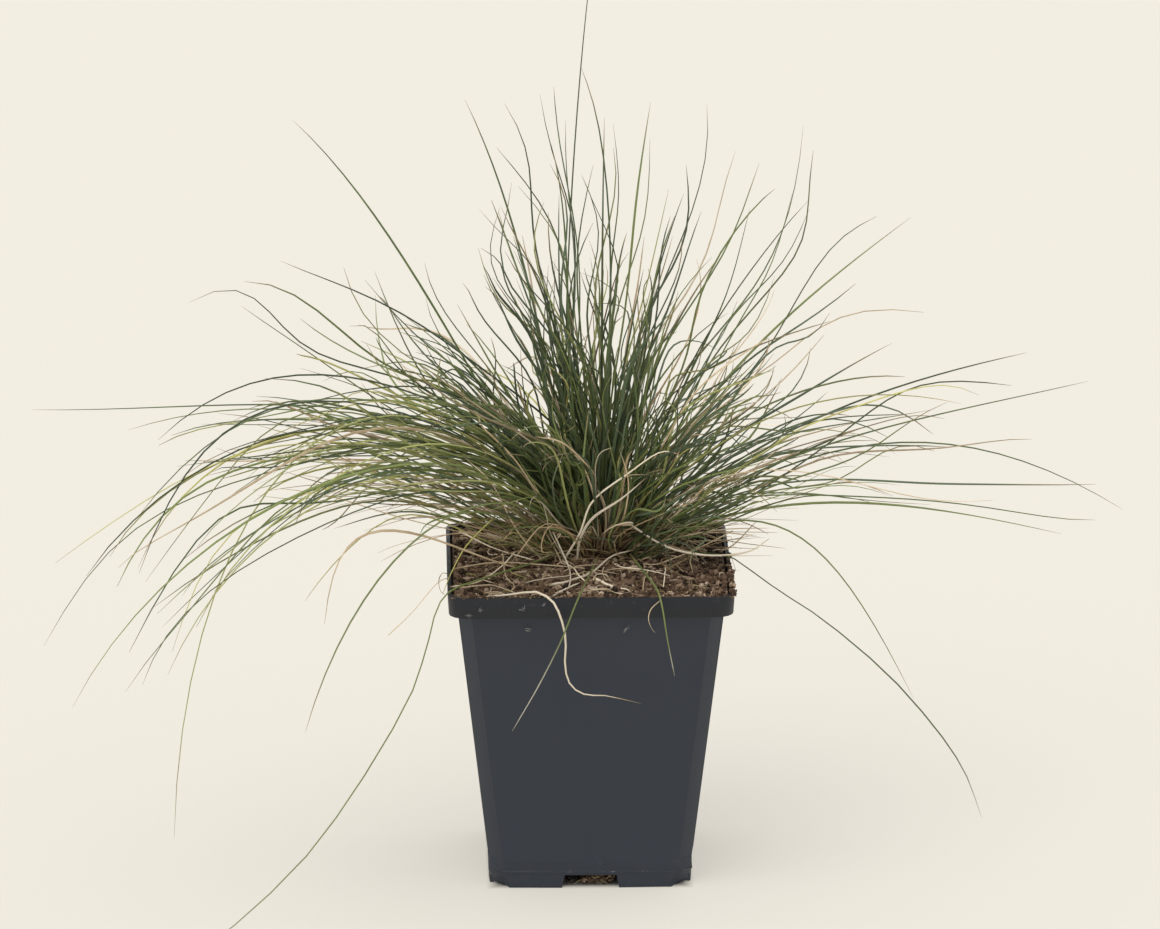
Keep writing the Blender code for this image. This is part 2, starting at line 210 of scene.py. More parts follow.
@dataclass(frozen=True)
class Route:
    """A dead or trailing leaf that lies along points (x, y, height above the floor)."""

    name: str
    points: tuple[Point, ...]
    width: float = 0.84
    tip: float = 0.3
    tone: Tone = Tone.TAN
    wither: float = 0.12


def faces_front(azimuth: float) -> bool:
    """Tell whether a bearing points over the front of the rim, where dead leaves stay short."""
    return 212 < azimuth % 360 < 328


def crossways(heading: float, rise: float = 0.0) -> np.ndarray:
    """Point across a heading in radians, raised a little for a leaf that lies tilted."""
    return np.array([-sin(heading), cos(heading), rise])


def slope_line(slope: float, *more: float) -> np.ndarray:
    """Point along a slope in radians, in an arc's own plane."""
    return np.array([cos(slope), sin(slope), *more])


def bezier(controls: np.ndarray) -> np.ndarray:
    """Read a leaf's places from a cubic curve.

    Args:
        controls: the four control points.

    Returns:
        An array of LEAF_POINTS points.
    """
    t = np.linspace(0.0, 1.0, LEAF_POINTS)[:, None]
    a, b, c, d = controls
    return a * (1 - t) ** 3 + b * 3 * t * (1 - t) ** 2 + c * 3 * t ** 2 * (1 - t) + d * t ** 3


def part_of_bezier(controls: np.ndarray, share: float) -> np.ndarray:
    """Cut a cubic curve short, or run it on.

    Args:
        controls: the four control points of the whole curve.
        share: where the new curve ends, with 1 as the old tip.

    Returns:
        The control points of the curve from the old start to that place.
    """
    a, b, c, d = controls
    ab, bc, cd = a + (b - a) * share, b + (c - b) * share, c + (d - c) * share
    abc, bcd = ab + (bc - ab) * share, bc + (cd - bc) * share
    return np.array([a, ab, abc, abc + (bcd - abc) * share])


def smooth_route(points: tuple[Point | np.ndarray, ...]) -> np.ndarray:
    """Read a leaf's places from a smooth curve through a route's own points.

    Args:
        points: the places that the curve goes through.

    Returns:
        An array of LEAF_POINTS points.
    """
    knots = np.array(points, dtype=float)
    ends = np.vstack([knots[0] * 2 - knots[1], knots, knots[-1] * 2 - knots[-2]])
    place = np.linspace(0.0, len(knots) - 1.0, LEAF_POINTS)
    span = np.minimum(place.astype(int), len(knots) - 2)
    t = (place - span)[:, None]
    a, b, c, d = (ends[span + step] for step in range(4))
    return 0.5 * ((2 * b) + (c - a) * t + (2 * a - 5 * b + 4 * c - d) * t ** 2
                  + (3 * b - a - 3 * c + d) * t ** 3)


class LatticeNoise:
    """Smooth noise over the plan of the pot, from a table of seeded numbers."""

    SIDE = 64

    def __init__(self, cell: float, seed: int) -> None:
        """Fill the table.

        Args:
            cell: the size of a lump.
            seed: what the table is drawn from.
        """
        self.cell = cell
        self.table = np.random.default_rng(seed).uniform(-1.0, 1.0, (self.SIDE, self.SIDE))

    def __call__(self, x: np.ndarray, y: np.ndarray) -> np.ndarray:
        """Read the noise at places on the plan.

        Args:
            x: places along X.
            y: places along Y.

        Returns:
            Values between -1 and 1.
        """
        across, along = np.asarray(x) / self.cell, np.asarray(y) / self.cell
        column, row = np.floor(across).astype(int), np.floor(along).astype(int)
        u, v = across - column, along - row
        u, v = u * u * (3 - 2 * u), v * v * (3 - 2 * v)
        near, far = column % self.SIDE, (column + 1) % self.SIDE
        low, high = row % self.SIDE, (row + 1) % self.SIDE
        below = self.table[near, low] * (1 - u) + self.table[far, low] * u
        above = self.table[near, high] * (1 - u) + self.table[far, high] * u
        return below * (1 - v) + above * v


# Node building ----------------------------------------------------------------------------------


class NodeBoard:
    """Adds nodes to one tree and wires them up."""

    COLOUR_A = 6
    COLOUR_B = 7
    MIXED_COLOUR = 2

    def __init__(self, tree: bpy.types.NodeTree) -> None:
        """Work on this tree."""
        self.tree = tree

    def node(self, kind: str, **settings: object) -> bpy.types.Node:
        """Add a node.

        Args:
            kind: its type name.
            settings: its properties.

        Returns:
            The node.
        """
        made = self.tree.nodes.new(kind)
        for name, value in settings.items():
            setattr(made, name, value)
        return made

    def feed(self, socket: Socket, value: Socket | float | Colour) -> None:
        """Wire an output into a socket, or set the socket's own value."""
        if isinstance(value, bpy.types.NodeSocket):
            self.tree.links.new(value, socket)
        elif isinstance(value, tuple):
            socket.default_value = (*value, 1.0) if socket.type == "RGBA" else value
        else:
            socket.default_value = value

    def wire(self, node: bpy.types.Node, **values: Socket | float | Colour) -> None:
        """Feed a node's inputs by name, with _ for a space in the name."""
        for name, value in values.items():
            self.feed(node.inputs[name.replace("_", " ")], value)

    def math(self, operation: str, first: Socket | float, second: Socket | float = 0.0,
             clamp: bool = False) -> Socket:
        """Add a Math node.

        Args:
            operation: what it does.
            first: its first value.
            second: its second value.
            clamp: whether the result is held between 0 and 1.

        Returns:
            Its result.
        """
        made = self.node("ShaderNodeMath", operation=operation, use_clamp=clamp)
        self.feed(made.inputs[0], first)
        self.feed(made.inputs[1], second)
        return made.outputs[0]

    def blend(self, factor: Socket | float, first: Socket | Colour, second: Socket | Colour,
              mode: str = "MIX") -> Socket:
        """Add a colour Mix node.

        Args:
            factor: how much of the second colour is used.
            first: the colour underneath.
            second: the colour on top.
            mode: how they are combined.

        Returns:
            The mixed colour.
        """
        made = self.node("ShaderNodeMix", data_type="RGBA", blend_type=mode)
        self.feed(made.inputs["Factor"], factor)
        self.feed(made.inputs[self.COLOUR_A], first)
        self.feed(made.inputs[self.COLOUR_B], second)
        return made.outputs[self.MIXED_COLOUR]

    def shade(self, colour: Socket | Colour, lightness: Socket) -> Socket:
        """Make a colour lighter or darker."""
        grey = self.node("ShaderNodeCombineColor")
        for socket in grey.inputs:
            self.feed(socket, lightness)
        return self.blend(1.0, colour, grey.outputs[0], "MULTIPLY")

    def ramp(self, factor: Socket, stops: tuple[tuple[float, Colour], ...]) -> Socket:
        """Add a colour ramp.

        Args:
            factor: where to read it.
            stops: places and colours, in order.

        Returns:
            The colour at that place.
        """
        made = self.node("ShaderNodeValToRGB")
        elements = made.color_ramp.elements
        for _ in stops[len(elements):]:
            elements.new(0.5)
        for element, (place, colour) in zip(elements, stops):
            element.position = place
            element.color = (*colour, 1.0)
        self.feed(made.inputs[0], factor)
        return made.outputs[0]

    def span(self, value: Socket, low: float, high: float, from_low: float = 0.0,
             from_high: float = 1.0) -> Socket:
        """Move a value from one span to another, held within it.

        Args:
            value: what to read.
            low: the result at from_low.
            high: the result at from_high.
            from_low: where the first span starts.
            from_high: where the first span ends.

        Returns:
            The moved value.
        """
        made = self.node("ShaderNodeMapRange")
        for socket, number in zip(list(made.inputs)[:5], (value, from_low, from_high, low, high)):
            self.feed(socket, number)
        return made.outputs[0]

    def noise(self, scale: Socket | float, detail: float = 3.0, roughness: float = 0.55,
              shift: Point = (0.0, 0.0, 0.0), stretch: Point = (1.0, 1.0, 1.0)) -> Socket:
        """Add noise that sits still on the object.

        Args:
            scale: lumps per metre.
            detail: how many finer layers it has.
            roughness: how strong the finer layers are.
            shift: where it is read from, so that two noises differ.
            stretch: how much finer it is along each axis.

        Returns:
            A value around 0.5.
        """
        place = self.node("ShaderNodeMapping")
        self.wire(place, Location=shift, Scale=stretch,
                  Vector=self.node("ShaderNodeTexCoord").outputs["Object"])
        made = self.node("ShaderNodeTexNoise")
        self.wire(made, Vector=place.outputs["Vector"], Scale=scale, Detail=detail,
                  Roughness=roughness)
        return made.outputs["Fac"]

    def place(self) -> bpy.types.NodeOutputs:
        """Read a point's X, Y and Z on its object."""
        made = self.node("ShaderNodeSeparateXYZ")
        self.wire(made, Vector=self.node("ShaderNodeTexCoord").outputs["Object"])
        return made.outputs

    def attribute(self, name: str) -> Socket:
        """Read a number that the mesh holds at its points."""
        return self.node("ShaderNodeAttribute", attribute_name=name).outputs["Fac"]

    def group(self, tree: bpy.types.NodeTree, **values: Socket | float | Colour) -> bpy.types.Node:
        """Place a node group.

        Args:
            tree: the group.
            values: its inputs, with _ for a space in their names.

        Returns:
            The group's node.
        """
        made = self.node("ShaderNodeGroup", node_tree=tree)
        self.wire(made, **values)
        return made


class GroupTree:
    """A node group in the making, with its named inputs and outputs."""

    SOCKETS = {"value": "NodeSocketFloat", "colour": "NodeSocketColor"}

    def __init__(self, name: str, inputs: dict[str, str], outputs: dict[str, str]) -> None:
        """Make the group's tree and its sockets.

        Args:
            name: the group's name.
            inputs: each input's name and kind.
            outputs: each output's name and kind.
        """
        self.tree = bpy.data.node_groups.new(name, "ShaderNodeTree")
        for way, sockets in (("INPUT", inputs), ("OUTPUT", outputs)):
            for label, kind in sockets.items():
                self.tree.interface.new_socket(label, in_out=way, socket_type=self.SOCKETS[kind])
        self.board = NodeBoard(self.tree)
        self.inputs = self.board.node("NodeGroupInput").outputs

    def give(self, **outputs: Socket) -> bpy.types.NodeTree:
        """Wire up the group's outputs and hand over its tree."""
        self.board.wire(self.board.node("NodeGroupOutput"), **outputs)
        return self.tree


class Effects:
    """The effects that several finishes share, each built once as a node group."""

    def __init__(self) -> None:
        """Build every group."""
        self.drift = self.build_drift()
        self.grain = self.build_grain()
        self.dust = self.build_dust()
        self.blade = self.build_blade()

    @staticmethod
    def build_drift() -> bpy.types.NodeTree:
        """Build the slow drift of a colour between a darker and a lighter shade of itself."""
        made = GroupTree("colour_drift", {"Colour": "colour", "Scale": "value", "Strength": "value"},
                         {"Colour": "colour"})
        board = made.board
        broad = board.noise(made.inputs["Scale"], detail=4.0, roughness=0.6)
        swing = board.math("MULTIPLY", board.math("SUBTRACT", broad, 0.5), 2.0)
        shade = board.math("ADD", board.math("MULTIPLY", swing, made.inputs["Strength"]), 1.0)
        return made.give(Colour=board.shade(made.inputs["Colour"], shade))

    @staticmethod
    def build_grain() -> bpy.types.NodeTree:
        """Build fine relief: a close grain with a few coarser lumps in it."""
        made = GroupTree("fine_grain", {"Scale": "value", "Lumps": "value"}, {"Height": "value"})
        board = made.board
        fine = board.noise(made.inputs["Scale"], detail=2.0, roughness=0.5)
        coarse = board.noise(board.math("MULTIPLY", made.inputs["Scale"], 0.23), detail=2.0,
                             shift=(0.3, 0.1, 0.7))
        lumps = board.math("MULTIPLY", coarse, made.inputs["Lumps"])
        return made.give(Height=board.math("ADD", fine, lumps))

    @staticmethod
    def build_dust() -> bpy.types.NodeTree:
        """Build patchy dust that gathers on faces that look up."""
        made = GroupTree("dusting", {"Colour": "colour", "Dust Colour": "colour", "Amount": "value",
                                     "Scale": "value"},
                         {"Colour": "colour", "Mask": "value"})
        board = made.board
        patches = board.span(board.noise(made.inputs["Scale"], detail=5.0, roughness=0.7), 0.0, 1.0,
                             0.42, 0.72)
        facing = board.node("ShaderNodeSeparateXYZ")
        board.wire(facing, Vector=board.node("ShaderNodeNewGeometry").outputs["Normal"])
        upward = board.span(facing.outputs["Z"], 0.0, 1.0, 0.05, 0.9)
        mask = board.math("MULTIPLY", board.math("MULTIPLY", patches, upward), made.inputs["Amount"],
                          clamp=True)
        dusted = board.blend(mask, made.inputs["Colour"], made.inputs["Dust Colour"])
        return made.give(Colour=dusted, Mask=mask)

    @staticmethod
    def build_blade() -> bpy.types.NodeTree:
        """Build the colour of a grass leaf from the numbers at its points.

        The leaf's tone gives its green, with patches along it, painted shade that darkens the groove
        and a little the edges and keel, a dry sheath at its foot and a withered tip.
        """
        made = GroupTree("blade_colour", {"Sheath Colour": "colour", "Withered Colour": "colour",
                                          "Patchiness": "value", "Groove": "value"},
                         {"Colour": "colour", "Dry": "value", "Ridge": "value"})
        board = made.board
        tone = board.attribute("tone")
        patches = board.math("MULTIPLY", board.math("SUBTRACT", board.noise(95.0, 3.0, 0.6), 0.5),
                             made.inputs["Patchiness"])
        stops = tuple((tone_stop.value, colour) for tone_stop, colour in LEAF_PALETTE.items())
        green = board.ramp(board.math("ADD", tone, patches, clamp=True), stops)
        shaded = board.shade(green, board.span(board.attribute("chance"), 0.60, 1.90))
        ridge = board.attribute("ridge")
        # Painted shade: the groove, and a little the edges and the keel, is blended towards near black.
        groove_shade = board.math("MULTIPLY", board.math("SUBTRACT", 1.0, ridge), made.inputs["Groove"])
        groove_shaded = board.blend(groove_shade, shaded, (0.012, 0.022, 0.010))
        fibres = board.noise(900.0, 2.0, 0.5, stretch=(1.0, 1.0, 0.35))
        streaks = board.span(fibres, 0.7, 1.25, 0.3, 0.7)
        withered = board.math("MULTIPLY", board.attribute("withered"), streaks, clamp=True)
        tipped = board.blend(withered, groove_shaded, made.inputs["Withered Colour"])
        sheath = board.math("MULTIPLY", board.attribute("sheath"), streaks, clamp=True)
        return made.give(Colour=board.blend(sheath, tipped, made.inputs["Sheath Colour"]),
                         Dry=board.math("MAXIMUM", withered, sheath), Ridge=ridge)


def new_material(name: str) -> tuple[bpy.types.Material, NodeBoard, bpy.types.Node]:
    """Make a material with one Principled shader.

    Args:
        name: its name.

    Returns:
        The material, its node board and its shader.
    """
    material = bpy.data.materials.new(name)
    material.use_nodes = True
    return material, NodeBoard(material.node_tree), material.node_tree.nodes["Principled BSDF"]


def bump(board: NodeBoard, shader: bpy.types.Node, height: Socket, strength: float,
         distance: float) -> None:
    """Turn a height into the shader's normal.

    Args:
        board: the material's board.
        shader: its shader.
        height: the relief.
        strength: how much of it is used.
        distance: its depth in mm.
    """
    made = board.node("ShaderNodeBump")
    board.wire(made, Strength=strength, Distance=distance * MM, Height=height)
    board.wire(shader, Normal=made.outputs["Normal"])


# Finishes ---------------------------------------------------------------------------------------


@dataclass(frozen=True)
class BladeFinish:
    """The skin of green or dead leaves."""

    name: str
    sheath_colour: Colour = (0.330, 0.240, 0.125)
    withered_colour: Colour = (0.330, 0.255, 0.145)
    patchiness: float = 0.20
    # How strongly the groove is darkened as painted shade.
    groove_shade: float = 0.30
    gloss: float = 0.46
    dry_gloss: float = 0.75
    rib_depth: float = 0.06

    def make(self, effects: Effects) -> bpy.types.Material:
        """Build the material."""
        material, board, shader = new_material(self.name)
        blade = board.group(effects.blade, Sheath_Colour=self.sheath_colour,
                            Withered_Colour=self.withered_colour, Patchiness=self.patchiness,
                            Groove=self.groove_shade)
        board.wire(shader, Base_Color=blade.outputs["Colour"], Specular_IOR_Level=0.42,
                   Roughness=board.span(blade.outputs["Dry"], self.gloss, self.dry_gloss))
        grain = board.group(effects.grain, Scale=2600.0, Lumps=0.6)
        relief = board.math("ADD", board.math("MULTIPLY", grain.outputs["Height"], 0.35),
                            blade.outputs["Ridge"])
        bump(board, shader, relief, 0.6, self.rib_depth)
        return material


@dataclass(frozen=True)
class SoilFinish:
    """Peaty potting mix: dark, fibrous and speckled, or the bark and crumbs that lie on it, with
    painted shade at the back right.
    """

    name: str
    by_piece: bool = False
    relief: float = 0.5

    def make(self, effects: Effects) -> bpy.types.Material:
        """Build the material."""
        material, board, shader = new_material(self.name)
        broad = board.noise(70.0, 5.0, 0.65)
        specks = board.noise(1300.0, 3.0, 0.7, shift=(0.2, 0.5, 0.1))
        mixture = board.math("ADD", board.math("MULTIPLY", broad, 0.55),
                             board.math("MULTIPLY", specks, 0.75))
        place = board.span(mixture, 0.0, 1.0, 0.42, 0.92)
        if self.by_piece:
            speckle = board.span(specks, -0.16, 0.16, 0.3, 0.7)
            place = board.math("ADD", board.attribute("tone"), speckle, clamp=True)
        earth = board.ramp(place, SOIL_PALETTE)
        # Painted shade: the soil is blended towards near black at the back right of the pot.
        painted_shade = self.painted_shade_corner(board)
        drift = board.group(effects.drift, Colour=board.blend(painted_shade, earth, (0.010, 0.008, 0.006)),
                            Scale=45.0, Strength=0.45)
        board.wire(shader, Base_Color=drift.outputs["Colour"], Specular_IOR_Level=0.25,
                   Roughness=board.span(specks, 0.78, 1.0, 0.3, 0.7))
        grain = board.group(effects.grain, Scale=1500.0, Lumps=1.6)
        bump(board, shader, grain.outputs["Height"], 0.9, self.relief)
        return material

    @staticmethod
    def painted_shade_corner(board: NodeBoard) -> Socket:
        """Mask the soil at the back right of the pot, which is darkened as painted shade."""
        place = board.place()
        rightward = board.math("ADD", place["X"], board.math("MULTIPLY", place["Y"], 1.3))
        return board.span(rightward, 0.0, 0.86, 16 * MM, 54 * MM)


@dataclass(frozen=True)
class PotFinish:
    """Injection-moulded slate-coloured plastic, with dust, soil marks and a few pale scuffs."""

    name: str = "pot_plastic"
    colour: Colour = (0.021, 0.028, 0.042)
    dust_colour: Colour = (0.200, 0.175, 0.145)
    scuff_colour: Colour = (0.420, 0.410, 0.400)
    rim_colour: Colour = (0.009, 0.011, 0.016)
    roughness: float = 0.52

    def make(self, effects: Effects) -> bpy.types.Material:
        """Build the material."""
        material, board, shader = new_material(self.name)
        drift = board.group(effects.drift, Colour=self.colour, Scale=26.0, Strength=0.05)
        dust = board.group(effects.dust, Colour=drift.outputs["Colour"],
                           Dust_Colour=self.dust_colour, Amount=0.30, Scale=160.0)
        scuffs = self.scuffs(board)
        banded = board.blend(self.rim_band(board), dust.outputs["Colour"], self.rim_colour)
        soiled = board.math("MULTIPLY", self.foot_and_rim(board),
                            board.span(board.noise(520.0, 5.0, 0.75), 0.0, 0.45, 0.60, 0.80))
        marked = board.blend(soiled, banded, self.dust_colour)
        wear = board.math("ADD", board.math("MULTIPLY", board.noise(60.0, 4.0, 0.6), 0.16),
                          board.math("MULTIPLY", dust.outputs["Mask"], 0.4))
        board.wire(shader, Base_Color=board.blend(scuffs, marked, self.scuff_colour),
                   Roughness=board.math("ADD", wear, self.roughness - 0.08),
                   Specular_IOR_Level=0.40)
        grain = board.group(effects.grain, Scale=2400.0, Lumps=0.8)
        bump(board, shader, grain.outputs["Height"], 0.35, 0.05)
        return material

    @staticmethod
    def rim_band(board: NodeBoard) -> Socket:
        """Mask the rim band, whose upright face is darker than the sides below it."""
        return board.span(board.place()["Z"], 0.0, 0.97, 91.9 * MM, 92.6 * MM)

    @staticmethod
    def foot_and_rim(board: NodeBoard) -> Socket:
        """Mask the foot band and the rim band, where soil and dust cling."""
        height = board.place()["Z"]
        foot = board.span(height, 1.0, 0.0, 2 * MM, 14 * MM)
        rim = board.span(height, 0.0, 0.8, 92 * MM, 97 * MM)
        return board.math("MAXIMUM", foot, rim)

    @staticmethod
    def scuffs(board: NodeBoard) -> Socket:
        """Mask thin pale scuffs that run along the moulded line over the foot."""
        place = board.place()
        away = board.math("ABSOLUTE", board.math("SUBTRACT", place["Z"], 5.3 * MM))
        near = board.span(away, 0.75, 0.0, 0.04 * MM, 0.24 * MM)
        rightward = board.span(place["X"], 0.18, 1.0, -2 * MM, 8 * MM)
        grit = board.noise(700.0, 3.0, 0.6, stretch=(0.35, 0.35, 2.5))
        streaks = board.span(grit, 0.0, 1.0, 0.55, 0.70)
        return board.math("MULTIPLY", board.math("MULTIPLY", near, rightward), streaks)


@dataclass(frozen=True)
class FloorFinish:
    """Plain cream paper, with a painted glow that lifts its shadows and none under the pot, which
    paints shade there.
    """

    name: str = "cream_paper"
    colour: Colour = (0.440, 0.421, 0.379)
    # The floor's glow is painted light: it lifts the shadows on the floor.
    painted_glow: float = 0.405
    painted_glow_colour: Colour = (1.0, 0.955, 0.860)

    def make(self, effects: Effects) -> bpy.types.Material:
        """Build the material: paper with a painted glow, light that no lamp gives, which lifts the
        floor's shadows; the glow is cut out under the pot, which paints shade there.
        """
        material, board, shader = new_material(self.name)
        drift = board.group(effects.drift, Colour=self.colour, Scale=1.5, Strength=0.006)
        place = board.place()
        sides = (board.math("ABSOLUTE", place["X"]), board.math("ABSOLUTE", place["Y"]))
        # Painted shade under the pot: the glow is cut out within about 30 mm of the pot's middle.
        clear = board.span(board.math("MAXIMUM", *sides), 0.0, 1.0, 29 * MM, 33 * MM)
        painted_glow = board.blend(clear, (0.0, 0.0, 0.0), self.painted_glow_colour)
        board.wire(shader, Base_Color=drift.outputs["Colour"], Roughness=0.95,
                   Specular_IOR_Level=0.05, Emission_Color=painted_glow, Emission_Strength=self.painted_glow)
        return material


# Meshes -----------------------------------------------------------------------------------------


def place_piece(piece: bpy.types.Object, material: bpy.types.Material, slot: str,
                *nodes: str) -> bpy.types.Object:
    """Dress a piece, fix it to the pot's body and hide the CAD nodes that it stands for.

    Args:
        piece: the object.
        material: its finish.
        slot: the record's slot that the finish comes from; not used.
        nodes: the CAD nodes that the piece replaces.

    Returns:
        The piece.
    """
    piece.data.materials.append(material)
    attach(piece, BODY)
    if nodes:
        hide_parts(*nodes)
    return piece


def put_in_scene(name: str, data: bpy.types.ID) -> bpy.types.Object:
    """Make an object of a mesh, a lamp or a camera's lens, and link it to the scene."""
    obj = bpy.data.objects.new(name, data)
    bpy.context.scene.collection.objects.link(obj)
    return obj


def object_from_arrays(name: str, points: np.ndarray, faces: list[tuple[int, ...]],
                       numbers: dict[str, np.ndarray], smooth: bool = True) -> bpy.types.Object:
    """Make an object from points in mm and faces.

    Args:
        name: the object's name.
        points: its points.
        faces: the points of each face.
        numbers: named numbers at the points, which finishes read.
        smooth: whether it is shaded smooth.

    Returns:
        The object, linked to the scene.
    """
    mesh = bpy.data.meshes.new(name)
    mesh.from_pydata((points * MM).tolist(), [], faces)
    for label, values in numbers.items():
        layer = mesh.attributes.new(label, "FLOAT", "POINT")
        layer.data.foreach_set("value", np.ascontiguousarray(values, dtype=np.float32))
    mesh.polygons.foreach_set("use_smooth", [smooth] * len(mesh.polygons))
    mesh.update()
    return put_in_scene(name, mesh)


@dataclass(frozen=True)
class BladeLook:
    """How one leaf looks along its line."""

    tone: float
    width: float = 0.78
    tip: float = 0.18
    depth: float = 0.80
    taper: float = 3.4
    sheath: float = 10.0
    wither: float = 0.10
    chance: float = 0.5
    twist: float = 0.0
    foot: float = 1.0


class BladeMesh:
    """Collects grass leaves and makes them into one mesh.

    A leaf's section is a folded blade: two ridges on top with a groove between, and a keel.
    """

    SECTION = np.array([(-1.0, 0.10), (-0.52, 0.66), (0.0, 0.24), (0.52, 0.66), (1.0, 0.10),
                        (0.0, -0.88)])
    RIDGE = np.array([0.75, 1.0, 0.0, 1.0, 0.75, 0.85])

    def __init__(self, name: str) -> None:
        """Start an empty mesh."""
        self.name = name
        self.lines: list[np.ndarray] = []
        self.sides: list[np.ndarray] = []
        self.looks: list[BladeLook] = []

    def add(self, line: np.ndarray, side: np.ndarray, look: BladeLook) -> None:
        """Add a leaf.

        Args:
            line: its LEAF_POINTS places from foot to tip, in mm.
            side: roughly across the leaf at its foot.
            look: its sizes and tone.
        """
        self.lines.append(line)
        self.sides.append(side)
        self.looks.append(look)

    def frames(self, lines: np.ndarray) -> tuple[np.ndarray, np.ndarray]:
        """Carry each leaf's side along its line.

        Args:
            lines: the leaves' places.

        Returns:
            The direction across and the direction up out of each leaf, at each place.
        """
        tangents = np.gradient(lines, axis=1)
        tangents /= np.linalg.norm(tangents, axis=2, keepdims=True)
        sideways = np.zeros_like(lines)
        carried = np.array(self.sides, dtype=float)
        for number in range(lines.shape[1]):
            tangent = tangents[:, number]
            carried = carried - (carried * tangent).sum(1, keepdims=True) * tangent
            carried /= np.linalg.norm(carried, axis=1, keepdims=True)
            sideways[:, number] = carried
        upward = np.cross(sideways, tangents)
        turns = np.radians([look.twist for look in self.looks])[:, None, None]
        turns = turns * np.linspace(0.0, 1.0, lines.shape[1])[None, :, None]
        return (sideways * np.cos(turns) + upward * np.sin(turns),
                upward * np.cos(turns) - sideways * np.sin(turns))

    def build(self) -> bpy.types.Object:
        """Make the mesh.

        Returns:
            An object with the numbers tone, ridge, sheath, withered and chance at its points.
        """
        lines = np.array(self.lines)
        count, steps = lines.shape[:2]
        sides = len(self.SECTION)
        sideways, upward = self.frames(lines)
        t = np.linspace(0.0, 1.0, steps)[None, :]
        column = {label: np.array([getattr(look, label) for look in self.looks])[:, None]
                  for label in ("tone", "width", "tip", "depth", "taper", "sheath", "wither",
                                "chance", "foot")}
        swell = column["foot"] + (1 - column["foot"]) * np.clip(t / 0.25, 0, 1)
        width = column["tip"] + (column["width"] - column["tip"]) * (1 - t ** column["taper"])
        half = width / 2 * swell
        half[:, -1] *= 0.35
        deep = half * column["depth"]
        points = (lines[:, :, None, :]
                  + sideways[:, :, None, :] * (half[:, :, None, None] * self.SECTION[:, 0, None])
                  + upward[:, :, None, :] * (deep[:, :, None, None] * self.SECTION[:, 1, None]))
        lengths = np.linalg.norm(np.diff(lines, axis=1), axis=2).cumsum(axis=1)
        run = np.concatenate([np.zeros((count, 1)), lengths], axis=1)
        sheath = np.clip(1.15 - run / np.maximum(column["sheath"], 0.01), 0, 1)
        start = 1 - column["wither"]
        withered = np.clip((t - start) / np.maximum(column["wither"] * 0.6, 0.001), 0, 1)
        whole = np.ones((count, steps, sides))
        kept = {"tone": column["tone"][:, :, None], "ridge": self.RIDGE,
                "sheath": sheath[:, :, None], "withered": withered[:, :, None],
                "chance": column["chance"][:, :, None]}
        numbers = {label: (values * whole).ravel() for label, values in kept.items()}
        faces = self.faces(count, steps, sides)
        return object_from_arrays(self.name, points.reshape(-1, 3), faces, numbers)

    @staticmethod
    def faces(count: int, steps: int, sides: int) -> list[tuple[int, ...]]:
        """List the faces of every leaf.

        Args:
            count: how many leaves there are.
            steps: how many places each has along it.
            sides: how many points each section has.

        Returns:
            The closed skin of each leaf, with a face over its foot and its tip.
        """
        faces: list[tuple[int, ...]] = []
        for leaf in range(count):
            first = leaf * steps * sides
            for step in range(steps - 1):
                low, high = first + step * sides, first + (step + 1) * sides
                for side in range(sides):
                    turn = (side + 1) % sides
                    faces.append((low + side, low + turn, high + turn, high + side))
            faces.append(tuple(first + side for side in reversed(range(sides))))
            last = first + (steps - 1) * sides
            faces.append(tuple(last + side for side in range(sides)))
        return faces


# The pot's soil and everything on it ------------------------------------------------------------

GOLDEN = (1 + 5 ** 0.5) / 2
LUMP_POINTS = np.array([(-1, GOLDEN, 0), (1, GOLDEN, 0), (-1, -GOLDEN, 0), (1, -GOLDEN, 0),
                        (0, -1, GOLDEN), (0, 1, GOLDEN), (0, -1, -GOLDEN), (0, 1, -GOLDEN),
                        (GOLDEN, 0, -1), (GOLDEN, 0, 1), (-GOLDEN, 0, -1), (-GOLDEN, 0, 1)]) / 1.9
LUMP_CORNERS = len(LUMP_POINTS)
LUMP_FACES = [(0, 11, 5), (0, 5, 1), (0, 1, 7), (0, 7, 10), (0, 10, 11), (1, 5, 9), (5, 11, 4),
              (11, 10, 2), (10, 7, 6), (7, 1, 8), (3, 9, 4), (3, 4, 2), (3, 2, 6), (3, 6, 8),
              (3, 8, 9), (4, 9, 5), (2, 4, 11), (6, 2, 10), (8, 6, 7), (9, 8, 1)]


